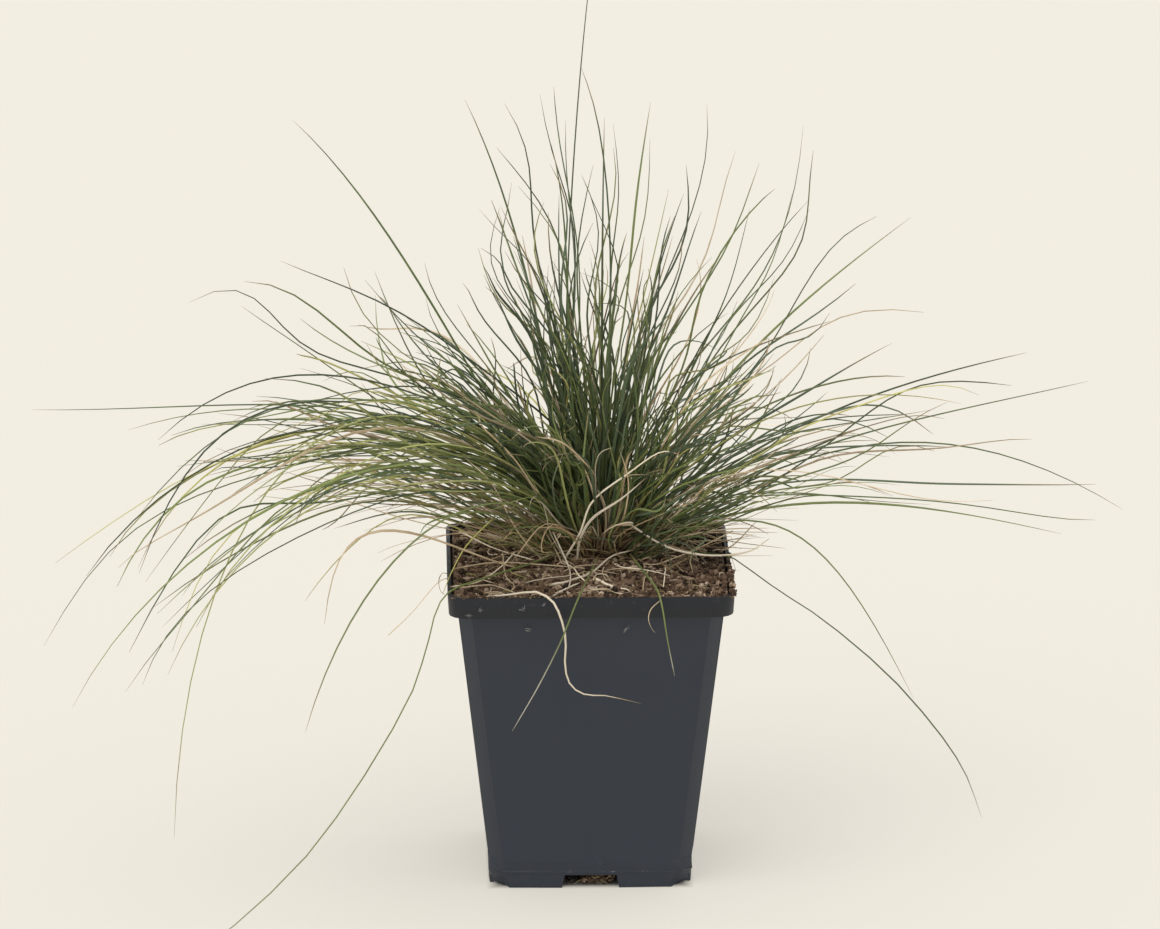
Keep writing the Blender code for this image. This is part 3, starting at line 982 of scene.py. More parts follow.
@dataclass
class SoilBed:
    """The soil's surface: the CAD block, a rough skin over it, and the crumbs, bark and fibres."""

    level: float = 95.0
    seat_rise: float = 5.0
    seat_radius: float = 18.0
    mound_spread: float = 20.0
    half_width: float = 43.0
    corner_cut: float = 4.6
    cells: int = 150
    crumbs: int = 4200
    chips: int = 420
    fibres: int = 260

    def __post_init__(self) -> None:
        """Set up the relief of the skin."""
        self.coarse = LatticeNoise(6.5, Seed.COARSE_RELIEF)
        self.medium = LatticeNoise(2.3, Seed.MEDIUM_RELIEF)
        self.fine = LatticeNoise(0.9, Seed.FINE_RELIEF)

    def block_height(self, x: np.ndarray, y: np.ndarray) -> np.ndarray:
        """Give the height of the CAD block of soil: a flat seat that falls to the rim."""
        axis = Crown().axis()
        outside = np.maximum(0.0, np.hypot(x - axis[0], y - axis[1]) - self.seat_radius)
        mound = self.seat_rise * np.exp(-(outside / self.mound_spread) ** 2)
        lumps = 0.35 * np.sin(0.31 * x + 0.8) * np.cos(0.27 * y) + 0.2 * np.sin(0.53 * x - 0.47 * y)
        return self.level + mound + lumps * np.minimum(1.0, outside / 8.0)

    def skin_height(self, x: np.ndarray, y: np.ndarray) -> np.ndarray:
        """Give the height of the rough skin that lies on the block."""
        relief = 0.60 * self.coarse(x, y) + 0.45 * self.medium(x, y) + 0.25 * self.fine(x, y)
        wall = np.maximum(np.abs(x), np.abs(y))
        heaped = 2.4 * np.clip((wall - 31.0) / 10.0, 0.0, 1.0) ** 2
        return self.block_height(x, y) + 0.60 + heaped + relief * 0.8

    def inside(self, x: np.ndarray, y: np.ndarray, margin: float = 0.0) -> np.ndarray:
        """Tell which places are inside the pot's walls."""
        half = self.half_width - margin
        diagonal = np.abs(x) + np.abs(y) < 2 * half - self.corner_cut
        return (np.abs(x) < half) & (np.abs(y) < half) & diagonal

    def scatter(self, count: int, rng: np.random.Generator,
                margin: float) -> tuple[np.ndarray, np.ndarray]:
        """Draw places on the soil.

        Args:
            count: how many.
            rng: where they are drawn from.
            margin: how far they keep from the pot's walls.

        Returns:
            Their x and y.
        """
        x, y = rng.uniform(-self.half_width, self.half_width, (2, count * 2))
        keep = self.inside(x, y, margin)
        return x[keep][:count], y[keep][:count]

    def keep_in(self, margin: float, *lines: np.ndarray) -> list[np.ndarray]:
        """Hold places on the plan inside the pot's walls."""
        edge = self.half_width - margin
        return [np.clip(line, -edge, edge) for line in lines]

    def build_skin(self) -> bpy.types.Object:
        """Build the rough skin as a closed sheet, a little thicker than its relief."""
        line = np.linspace(-self.half_width, self.half_width, self.cells + 1)
        x, y = (grid.ravel() for grid in np.meshgrid(line, line, indexing="ij"))
        limit = 2 * self.half_width - self.corner_cut
        over = np.maximum(0.0, np.abs(x) + np.abs(y) - limit) / 2
        x, y = x - np.sign(x) * over, y - np.sign(y) * over
        top = np.column_stack([x, y, self.skin_height(x, y)])
        under = np.column_stack([x, y, self.block_height(x, y) - 0.6])
        side = self.cells + 1
        total = side * side
        faces: list[tuple[int, ...]] = []
        for i in range(self.cells):
            for j in range(self.cells):
                a, b = i * side + j, (i + 1) * side + j
                faces.append((a, b, b + 1, a + 1))
                faces.append((a + 1 + total, b + 1 + total, b + total, a + total))
        edge = [i * side for i in range(side)] + [self.cells * side + j for j in range(1, side)]
        edge += [i * side + self.cells for i in range(self.cells - 1, -1, -1)]
        edge += list(range(self.cells - 1, 0, -1))
        for a, b in zip(edge, edge[1:] + edge[:1]):
            faces.append((b, a, a + total, b + total))
        return object_from_arrays("soil_surface", np.vstack([top, under]), faces, {})

    def build_crumbs(self) -> bpy.types.Object:
        """Build the loose crumbs: small uneven lumps, most of them dark."""
        rng = np.random.default_rng(Seed.CRUMBS)
        x, y = self.scatter(self.crumbs, rng, 0.4)
        count = len(x)
        size = rng.lognormal(-0.68, 0.48, count).clip(0.2, 1.6)
        sizes = size[:, None] * rng.uniform(0.45, 1.25, (count, 3))
        points = lumps(rng.uniform(0.7, 1.2, (count, LUMP_CORNERS, 1)), sizes, rng)
        middle = np.column_stack([x, y, self.skin_height(x, y) + size * 0.25])
        return join_copies("soil_crumbs", points + middle[:, None, :], LUMP_FACES,
                           rng.beta(1.1, 1.6, count))

    def build_chips(self) -> bpy.types.Object:
        """Build the chips of bark: flat splinters with broken ends."""
        rng = np.random.default_rng(Seed.CHIPS)
        x, y = self.scatter(self.chips, rng, 2.5)
        count = len(x)
        outline = np.array([(-1, -0.4), (-0.3, -0.55), (0.7, -0.5), (1, 0.1), (0.4, 0.5),
                            (-0.8, 0.45)])
        flat = outline[None] * rng.uniform(0.75, 1.2, (count, 6, 2))
        length = rng.lognormal(0.45, 0.40, count).clip(0.8, 3.6)
        width = length * rng.uniform(0.22, 0.6, count)
        thick = rng.uniform(0.14, 0.4, count)
        points = np.zeros((count, 12, 3))
        for level, rise in ((0, -1.0), (6, 1.0)):
            points[:, level:level + 6, 0] = flat[:, :, 0] * length[:, None]
            points[:, level:level + 6, 1] = flat[:, :, 1] * width[:, None]
            points[:, level:level + 6, 2] = rise * thick[:, None]
        points = turn_at_random(points, rng, tilt=28.0)
        middle = np.column_stack([x, y, self.skin_height(x, y) + 0.35])
        faces = [tuple(reversed(range(6))), tuple(range(6, 12))]
        faces += [(k, (k + 1) % 6, (k + 1) % 6 + 6, k + 6) for k in range(6)]
        return join_copies("bark_chips", points + middle[:, None, :], faces,
                           rng.beta(1.7, 1.1, count))

    def build_fibres(self) -> bpy.types.Object:
        """Build the peat fibres and bits of dead leaf that lie over the crumbs."""
        rng = np.random.default_rng(Seed.FIBRES)
        mesh = BladeMesh("soil_fibres")
        x, y = self.scatter(self.fibres, rng, 5.0)
        for px, py in zip(x, y):
            length = rng.lognormal(1.75, 0.45)
            heading = rng.uniform(0, 2 * pi)
            bend = rng.normal(0, 1.0)
            t = np.linspace(-0.5, 0.5, LEAF_POINTS)
            turn = heading + bend * t
            along = length * t
            line_x, line_y = self.keep_in(1.0, px + along * np.cos(turn), py + along * np.sin(turn))
            rise = 0.35 + rng.uniform(0, 1.3) * (1 - (2 * t) ** 2) + rng.normal(0, 0.5) * t
            ground = self.skin_height(line_x, line_y)
            line_z = np.maximum(ground.mean() + rise, ground + 0.05)
            tone = DEAD_MIX.pick(rng).value - rng.uniform(0, 0.08)
            width = rng.uniform(0.16, 0.55)
            line = np.column_stack([line_x, line_y, line_z])
            mesh.add(line, crossways(heading, 0.2), BladeLook(
                tone, width, width * 0.5, sheath=0.0, wither=0.05, chance=rng.uniform(0, 0.8),
                twist=rng.normal(0, 60)))
        return mesh.build()

    def build(self, effects: Effects) -> list[bpy.types.Object]:
        """Build and dress the soil.

        Args:
            effects: the shared node groups.

        Returns:
            The pieces on the CAD block.
        """
        earth = SoilFinish("potting_soil").make(effects)
        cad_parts["soil"].data.materials.clear()
        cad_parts["soil"].data.materials.append(earth)
        loose = SoilFinish("loose_soil", by_piece=True, relief=0.25).make(effects)
        fibres = BladeFinish("soil_fibre", groove_shade=0.25, patchiness=0.12).make(effects)
        return [
            place_piece(self.build_skin(), earth, "potting_soil"),
            place_piece(self.build_crumbs(), loose, "potting_soil"),
            place_piece(self.build_chips(), loose, "potting_soil"),
            place_piece(self.build_fibres(), fibres, "dead_leaf"),
        ]


def lumps(rough: np.ndarray, sizes: np.ndarray, rng: np.random.Generator) -> np.ndarray:
    """Shape small lumps and turn each its own way.

    Args:
        rough: how far out each corner of each lump is.
        sizes: each lump's size along its three axes.
        rng: where the turns are drawn from.

    Returns:
        The points of each lump, round the origin.
    """
    return turn_at_random(LUMP_POINTS[None] * rough * sizes[:, None, :], rng)


def join_copies(name: str, points: np.ndarray, faces: list[tuple[int, ...]],
                tone: np.ndarray) -> bpy.types.Object:
    """Make many copies of one small shape into one object.

    Args:
        name: the object's name.
        points: the points of each copy.
        faces: the faces of one copy.
        tone: the tone of each copy.

    Returns:
        The object.
    """
    count, each = points.shape[:2]
    every = [tuple(number + k * each for number in face) for k in range(count) for face in faces]
    return object_from_arrays(name, points.reshape(-1, 3), every, {"tone": np.repeat(tone, each)},
                              smooth=False)


def turn_at_random(points: np.ndarray, rng: np.random.Generator, tilt: float = 180.0) -> np.ndarray:
    """Turn each small shape its own way.

    Args:
        points: the points of each shape, round the origin.
        rng: where the turns are drawn from.
        tilt: the most that a shape leans out of the level.

    Returns:
        The turned points.
    """
    count = len(points)
    spin = rng.uniform(0, 2 * pi, count)
    lean = np.radians(tilt) * rng.uniform(-1, 1, count)
    level = np.zeros((count, 3, 3))
    level[:, 0, 0], level[:, 0, 1] = np.cos(spin), -np.sin(spin)
    level[:, 1, 0], level[:, 1, 1], level[:, 2, 2] = np.sin(spin), np.cos(spin), 1
    upright = np.zeros((count, 3, 3))
    upright[:, 0, 0], upright[:, 1, 1], upright[:, 1, 2] = 1, np.cos(lean), -np.sin(lean)
    upright[:, 2, 1], upright[:, 2, 2] = np.sin(lean), np.cos(lean)
    return np.einsum("nij,nkj->nki", level @ upright, points)


# The plant --------------------------------------------------------------------------------------


@dataclass(frozen=True)
class Habit:
    """How the leaves of a tuft spread from its middle line."""

    shoots: int
    fan: float
    lift: float
    shortest: float
    longest: float
    scatter: float
    tones: ToneMix
    dead_share: float
    raised: float = 0.0


UPRIGHT = Habit(9, 45.0, 11.0, 0.30, 1.06, 10.0, UPRIGHT_MIX, dead_share=0.03)
MIDDLE_LEFT = Habit(10, 22.0, 11.0, 0.34, 1.06, 11.0, UPRIGHT_MIX, dead_share=0.02)
MIDDLE_RIGHT = Habit(6, 25.0, 13.0, 0.26, 0.94, 11.0, RIGHT_MIX, dead_share=0.03)
OUTER_LEFT = Habit(6, 21.0, 15.0, 0.30, 1.04, 15.0, LEFT_MIX, dead_share=0.12, raised=6.0)
OUTER_FRONT_LEFT = replace(OUTER_LEFT, shoots=5)
OUTER_RIGHT = Habit(6, 22.0, 16.0, 0.20, 0.78, 14.0, RIGHT_MIX, dead_share=0.14, raised=3.0)


class Growth:
    """Grows leaves from the crown and keeps them off the soil, the pot and the floor."""

    RIM_HALF = 46.5
    RIM_INNER = 41.0
    RIM_TOP = 99.6
    CROWN_REACH = 18.0
    LIMIT = np.array([189.0, 144.0, 309.0])
    FLOOR_CLEARANCE = 4.0
    SOIL_CLEARANCE = 1.6
    RIM_CLEARANCE = 0.8
    FULL_LENGTH = 130.0

    def __init__(self, bed: SoilBed, seed: int) -> None:
        """Start from a bed of soil and a seed."""
        self.bed = bed
        self.crown = Crown()
        self.axis = self.crown.axis()
        self.rng = np.random.default_rng(seed)

    def to_world(self, flat: np.ndarray, azimuth: float) -> np.ndarray:
        """Stand a line that lies in an arc's own plane up in its place.

        Args:
            flat: distance from the axis, height, and distance to the side, for each point.
            azimuth: the bearing of the plane.

        Returns:
            The points in the object's frame.
        """
        bearing = radians(azimuth)
        base = np.array([self.axis[0], self.axis[1], 0.0])
        return (base + flat[:, :1] * slope_line(bearing, 0.0) + flat[:, 2:3] * crossways(bearing)
                + flat[:, 1:2] * np.array([0.0, 0.0, 1.0]))

    def clear(self, line: np.ndarray) -> np.ndarray:
        """Lift a line off the soil and the rim, and keep it inside the object's box."""
        line = line.copy()
        x, y = line[:, 0], line[:, 1]
        over_pot = (np.abs(x) < self.RIM_HALF) & (np.abs(y) < self.RIM_HALF)
        near_rim = over_pot & (np.maximum(np.abs(x), np.abs(y)) > self.RIM_INNER)
        on_crown = np.hypot(x - self.axis[0], y - self.axis[1]) < self.CROWN_REACH
        soil = self.bed.block_height(x, y) + self.SOIL_CLEARANCE
        floor = np.where(over_pot & ~on_crown, soil, self.FLOOR_CLEARANCE)
        floor = np.where(near_rim, self.RIM_TOP + self.RIM_CLEARANCE, floor)
        floor = np.where(on_crown, 0.0, floor)
        line[:, 2] = np.maximum(line[:, 2], floor)
        return np.clip(line, -self.LIMIT, self.LIMIT)

    def shoot_controls(self, arc: Arc, share: float, launch: float, scatter: float) -> np.ndarray:
        """Work out a leaf's own curve from its tuft's.

        Args:
            arc: the tuft's middle line.
            share: the leaf's length as a share of the tuft's.
            launch: how much steeper the leaf leaves the crown.
            scatter: how far the tip of a long leaf strays.

        Returns:
            A 4 by 3 array of distance, height and sideways distance.
        """
        flat = part_of_bezier(arc.controls(self.crown), share)
        controls = np.column_stack([flat, np.zeros(4)])
        slope = radians(arc.launch + launch)
        stand = self.crown.radius - 0.6
        hold = float(np.linalg.norm(controls[1] - controls[0]))
        controls[0] = [stand * cos(slope), self.crown.centre_height + stand * sin(slope), 0.0]
        controls[1] = controls[0] + hold * slope_line(slope, 0.0)
        length = float(np.linalg.norm(controls[3] - controls[0]))
        stray = scatter * (0.4 + 0.6 * length / self.FULL_LENGTH)
        controls[2] += self.rng.normal(0, stray * 0.55, 3)
        controls[3] += self.rng.normal(0, stray, 3) + np.array([0.0, launch * length * 0.009, 0.0])
        return controls

    def wave(self, size: float) -> np.ndarray:
        """Give a slow sideways and upward wander along a leaf.

        Args:
            size: how far it wanders at the tip.

        Returns:
            Offsets of distance, height and side at each place.
        """
        t = np.linspace(0.0, 1.0, LEAF_POINTS)[:, None]
        turns = self.rng.uniform(0.8, 1.9, 3)
        phase = self.rng.uniform(0, 2 * pi, 3)
        reach = size * self.rng.normal(0, 1, 3)
        return (np.sin(2 * pi * turns * t + phase) - np.sin(phase)) * reach * t ** 1.3

    def leaf(self, arc: Arc, azimuth: float, share: float, launch: float,
             scatter: float) -> np.ndarray:
        """Grow one leaf's line.

        Args:
            arc: the middle line of its tuft.
            azimuth: its own bearing.
            share: its length as a share of the tuft's.
            launch: how much steeper it leaves the crown.
            scatter: how far the tip of a long leaf strays.

        Returns:
            Its places from foot to tip.
        """
        controls = self.shoot_controls(arc, share, launch, scatter)
        return self.strand(azimuth, controls, 0.9 + 3.0 * share)

    def strand(self, azimuth: float, controls: np.ndarray, wave: float) -> np.ndarray:
        """Stand a leaf's curve up in its place, with a slow wave in it and clear of the ground."""
        return self.clear(self.to_world(bezier(controls) + self.wave(wave), azimuth))


def tuft_arcs(first: int, launch: float, *places: tuple[float, ...]) -> tuple[Arc, ...]:
    """List the arcs of neighbouring tufts, each from (azimuth, reach, height, end slope)."""
    return tuple(Arc(f"tuft_{number:02d}", azimuth, launch, *rest)
                 for number, (azimuth, *rest) in enumerate(places, first))


@dataclass
class Tufts:
    """The tufts of leaves in three whorls round the crown, each with its habit."""

    LEAVES_A_SHOOT = 4
    CROSSING_SHARE = 0.36

    habits: tuple[tuple[Habit, tuple[Arc, ...]], ...] = (
        (OUTER_RIGHT, tuft_arcs(1, 42, (305, 85, 130, -20), (333, 108, 138, -14), (1, 135, 140, -6),
                                (29, 128, 130, -18), (57, 112, 126, -25), (85, 104, 122, -30),
                                (113, 106, 122, -30))),
        (OUTER_LEFT, tuft_arcs(8, 42, (141, 120, 127, -26), (169, 132, 136, -15),
                               (196, 140, 128, -28))),
        (OUTER_FRONT_LEFT, tuft_arcs(11, 42, (220, 124, 114, -44))),
        (MIDDLE_RIGHT, tuft_arcs(12, 62, (335, 74, 178, 18), (20, 98, 192, 26), (65, 84, 194, 30),
                                 (110, 80, 190, 30))),
        (MIDDLE_LEFT, tuft_arcs(16, 62, (155, 80, 182, 20), (200, 104, 170, 4), (245, 76, 166, 8))),
        (MIDDLE_RIGHT, tuft_arcs(19, 62, (290, 64, 166, 16))),
        (UPRIGHT, tuft_arcs(20, 79, (357, 52, 226, 62), (117, 36, 238, 72), (237, 42, 220, 62))),
    )

    def build_tuft(self, number: int, arc: Arc, habit: Habit, bed: SoilBed) -> bpy.types.Object:
        """Grow one tuft, shoot by shoot: a dry sheath with leaves of several lengths in it.

        Args:
            number: the tuft's place in the list.
            arc: its middle line.
            habit: how its leaves spread.
            bed: the soil it grows over.

        Returns:
            The object.
        """
        growth = Growth(bed, Seed.TUFTS + number)
        rng = growth.rng
        mesh = BladeMesh(f"{arc.name}_leaves")
        for _ in range(habit.shoots):
            stray = np.clip(rng.normal(0, habit.fan), -1.6 * habit.fan, 1.6 * habit.fan)
            azimuth = arc.azimuth + float(stray)
            launch = float(rng.normal(habit.raised, habit.lift))
            side = crossways(radians(azimuth))
            for _ in range(self.LEAVES_A_SHOOT):
                crossing = 4.0 if rng.random() < self.CROSSING_SHARE else 1.0
                bearing = azimuth + crossing * rng.normal(0, 8)
                slope = launch + rng.normal(0, 5) * (crossing + 1) / 2
                line, look = self.grow_leaf(growth, arc, habit, bearing, slope)
                mesh.add(line, side, look)
            line, look = self.grow_sheath(growth, arc, azimuth, launch)
            mesh.add(line, side, look)
        return mesh.build()

    @staticmethod
    def grow_leaf(growth: Growth, arc: Arc, habit: Habit, azimuth: float,
                  launch: float) -> tuple[np.ndarray, BladeLook]:
        """Grow one leaf of a shoot, now and then a dead one that hangs lower."""
        rng = growth.rng
        share = habit.shortest + (habit.longest - habit.shortest) * float(rng.beta(1.25, 1.55))
        dead = rng.random() < habit.dead_share
        if dead and faces_front(azimuth):
            share = min(share, 0.5)
        tone = DEAD_MIX.pick(rng) if dead else habit.tones.pick(rng)
        drop = rng.uniform(4, 14) if dead else 0.0
        line = growth.leaf(arc, azimuth, share, launch - drop, habit.scatter)
        width = rng.uniform(0.45, 0.68) if dead else rng.uniform(0.68, 0.98)
        return line, BladeLook(
            tone=tone.value + rng.uniform(-0.03, 0.03), width=width, tip=rng.uniform(0.20, 0.32),
            taper=rng.uniform(3.0, 6.0), sheath=rng.uniform(3, 9),
            wither=rng.choice([0.04, 0.08, 0.16, 0.3], p=[0.60, 0.25, 0.11, 0.04]),
            chance=rng.random(), twist=rng.normal(0, 70), foot=0.85)

    @staticmethod
    def grow_sheath(growth: Growth, arc: Arc, azimuth: float,
                    launch: float) -> tuple[np.ndarray, BladeLook]:
        """Grow the dry sheath round the foot of a shoot."""
        rng = growth.rng
        line = growth.leaf(arc, azimuth, rng.uniform(0.07, 0.13), launch, 0.6)
        return line, BladeLook(
            tone=Tone.BROWN.value + rng.uniform(-0.02, 0.12), width=1.5, tip=0.5, depth=0.9,
            taper=1.6, sheath=rng.uniform(8, 16), wither=0.2, chance=rng.random())

    def build(self, bed: SoilBed, effects: Effects) -> list[bpy.types.Object]:
        """Grow and dress every tuft."""
        skin = BladeFinish("green_leaf").make(effects)
        tufts = [(arc, habit) for habit, arcs in self.habits for arc in arcs]
        return [place_piece(self.build_tuft(number, arc, habit, bed), skin, "green_leaf", arc.name)
                for number, (arc, habit) in enumerate(tufts)]


@dataclass(frozen=True)
class Sweep:
    """A loose sheaf of long leaves in one direction. Each pair is a lowest and a highest value."""

    name: str
    tones: ToneMix
    count: int
    azimuth: tuple[float, float]
    launch: tuple[float, float]
    reach: tuple[float, float]
    height: tuple[float, float]
    end_slope: tuple[float, float]
    spring: tuple[float, float]


@dataclass
class Sweeps:
    """The long leaves that sweep out past the tufts in sheaves."""

    sheaves: tuple[Sweep, ...] = (
        Sweep("left_arching", LEFT_MIX, 22, (194, 213), (50, 62), (140, 187), (72, 128), (-66, -42),
              (0.36, 0.44)),
        Sweep("left_level", LEFT_MIX, 22, (164, 206), (46, 60), (92, 152), (122, 155), (-36, 6),
              (0.32, 0.42)),
        Sweep("right_level", RIGHT_MIX, 12, (-24, 26), (24, 52), (98, 168), (106, 150), (-34, 18),
              (0.30, 0.44)),
        Sweep("right_rising", RIGHT_MIX, 5, (4, 44), (56, 68), (60, 96), (184, 224), (46, 76),
              (0.34, 0.44)),
        Sweep("left_rising", UPRIGHT_MIX, 10, (150, 238), (72, 84), (10, 46), (196, 250), (62, 84),
              (0.30, 0.42)),
        Sweep("back_level", RIGHT_MIX, 12, (50, 140), (40, 60), (96, 122), (112, 150), (-34, 10),
              (0.32, 0.42)),
    )

    def build(self, bed: SoilBed, effects: Effects) -> list[bpy.types.Object]:
        """Grow and dress every sheaf."""
        skin = BladeFinish("sweeping_leaf").make(effects)
        return [place_piece(self.build_sheaf(number, sheaf, bed), skin, "green_leaf")
                for number, sheaf in enumerate(self.sheaves)]

    def build_sheaf(self, number: int, sheaf: Sweep, bed: SoilBed) -> bpy.types.Object:
        """Grow one sheaf.

        Args:
            number: the sheaf's place in the list.
            sheaf: the spans that its leaves are drawn from.
            bed: the soil it grows over.

        Returns:
            The object.
        """
        growth = Growth(bed, Seed.SWEEPS + number)
        rng = growth.rng
        mesh = BladeMesh(f"{sheaf.name}_leaves")
        spans = (sheaf.azimuth, sheaf.launch, sheaf.reach, sheaf.height, sheaf.end_slope,
                 sheaf.spring)
        for _ in range(sheaf.count):
            arc = Arc("sweep", *(float(rng.uniform(*span)) for span in spans))
            line = growth.leaf(arc, arc.azimuth, 1.0, 0.0, 4.0)
            mesh.add(line, crossways(radians(arc.azimuth)), BladeLook(
                tone=sheaf.tones.pick(rng).value + rng.uniform(-0.03, 0.03),
                width=rng.uniform(0.66, 0.92), tip=rng.uniform(0.20, 0.32),
                taper=rng.uniform(2.6, 5.0), sheath=rng.uniform(5, 13),
                wither=rng.choice([0.04, 0.08, 0.16], p=[0.5, 0.3, 0.2]), chance=rng.random(),
                twist=rng.normal(0, 70), foot=0.85))
        return mesh.build()


@dataclass
class SingleLeaves:
    """The long leaves that stand clear of the tufts, each in its own known place."""

    width: float = 0.84
    tip: float = 0.20
    arcs: tuple[Arc, ...] = (
        Arc("leaf_tallest", 177, 69, 2, 295, 99, 0.16),
        Arc("leaf_back_left_high", 177, 55, 97, 239, 43, 0.30),
        Arc("leaf_left_far", 183, 54, 180, 149, 2, 0.40),
        Arc("leaf_left_flat", 155, 40, 168, 121, -22, tone=Tone.GREEN),
        Arc("leaf_left_drooping", 213, 54, 196, 80, -57, 0.38, Tone.GREEN),
        Arc("leaf_left_hanging", 205, 54, 149, 24, -88, 0.72, Tone.MOSS),
        Arc("leaf_front_left_curved", 234, 44, 158, 78, -62, 0.42, Tone.GREEN),
        Arc("leaf_right_far", 15, 31, 177, 99, -34, 0.42),
        Arc("leaf_right_high", 347, 40, 156, 163, 16),
        Arc("leaf_right_rising", 15, 40, 143, 154, 8),
        Arc("leaf_right_low", 347, 31, 148, 113, -10, tone=Tone.GREEN),
        Arc("leaf_right_yellow", 326, 54, 132, 166, -4, tone=Tone.YELLOW_GREEN),
        Arc("leaf_back_right_high", 36, 54, 127, 190, 24, tone=Tone.GREEN),
        Arc("leaf_back_right_tip_up", 42, 68, 90, 224, 84, 0.50),
        Arc("leaf_right_drooping", 326, 31, 116, 69, -58, 0.56, Tone.GREEN),
        Arc("leaf_back_upright", 87, 68, 46, 230, 45, 0.40),
        Arc("leaf_back_left_upright", 132, 66, 63, 236, 52, 0.36),
        Arc("leaf_back_drooping", 99, 40, 123, 92, -50, 0.42, Tone.GREEN),
    )

    def build(self, bed: SoilBed, effects: Effects) -> list[bpy.types.Object]:
        """Grow and dress every single leaf."""
        growth = Growth(bed, Seed.SINGLE_LEAVES)
        rng = growth.rng
        green = BladeFinish("single_leaf").make(effects)
        yellow = BladeFinish("yellow_leaf", withered_colour=(0.52, 0.33, 0.12)).make(effects)
        pieces = []
        for arc in self.arcs:
            controls = np.column_stack([arc.controls(growth.crown), np.zeros(4)])
            line = growth.to_world(bezier(controls), arc.azimuth)
            mesh = BladeMesh(f"{arc.name}_blade")
            mesh.add(line, crossways(radians(arc.azimuth)), BladeLook(
                tone=arc.tone.value, width=self.width, tip=self.tip, sheath=8.0,
                wither=rng.uniform(0.05, 0.12), chance=rng.random(), twist=rng.normal(0, 60),
                foot=0.9))
            skin, slot = green, "green_leaf"
            if arc.tone is Tone.YELLOW_GREEN:
                skin, slot = yellow, "yellow_leaf"
            pieces.append(place_piece(mesh.build(), skin, slot, arc.name))
        return pieces


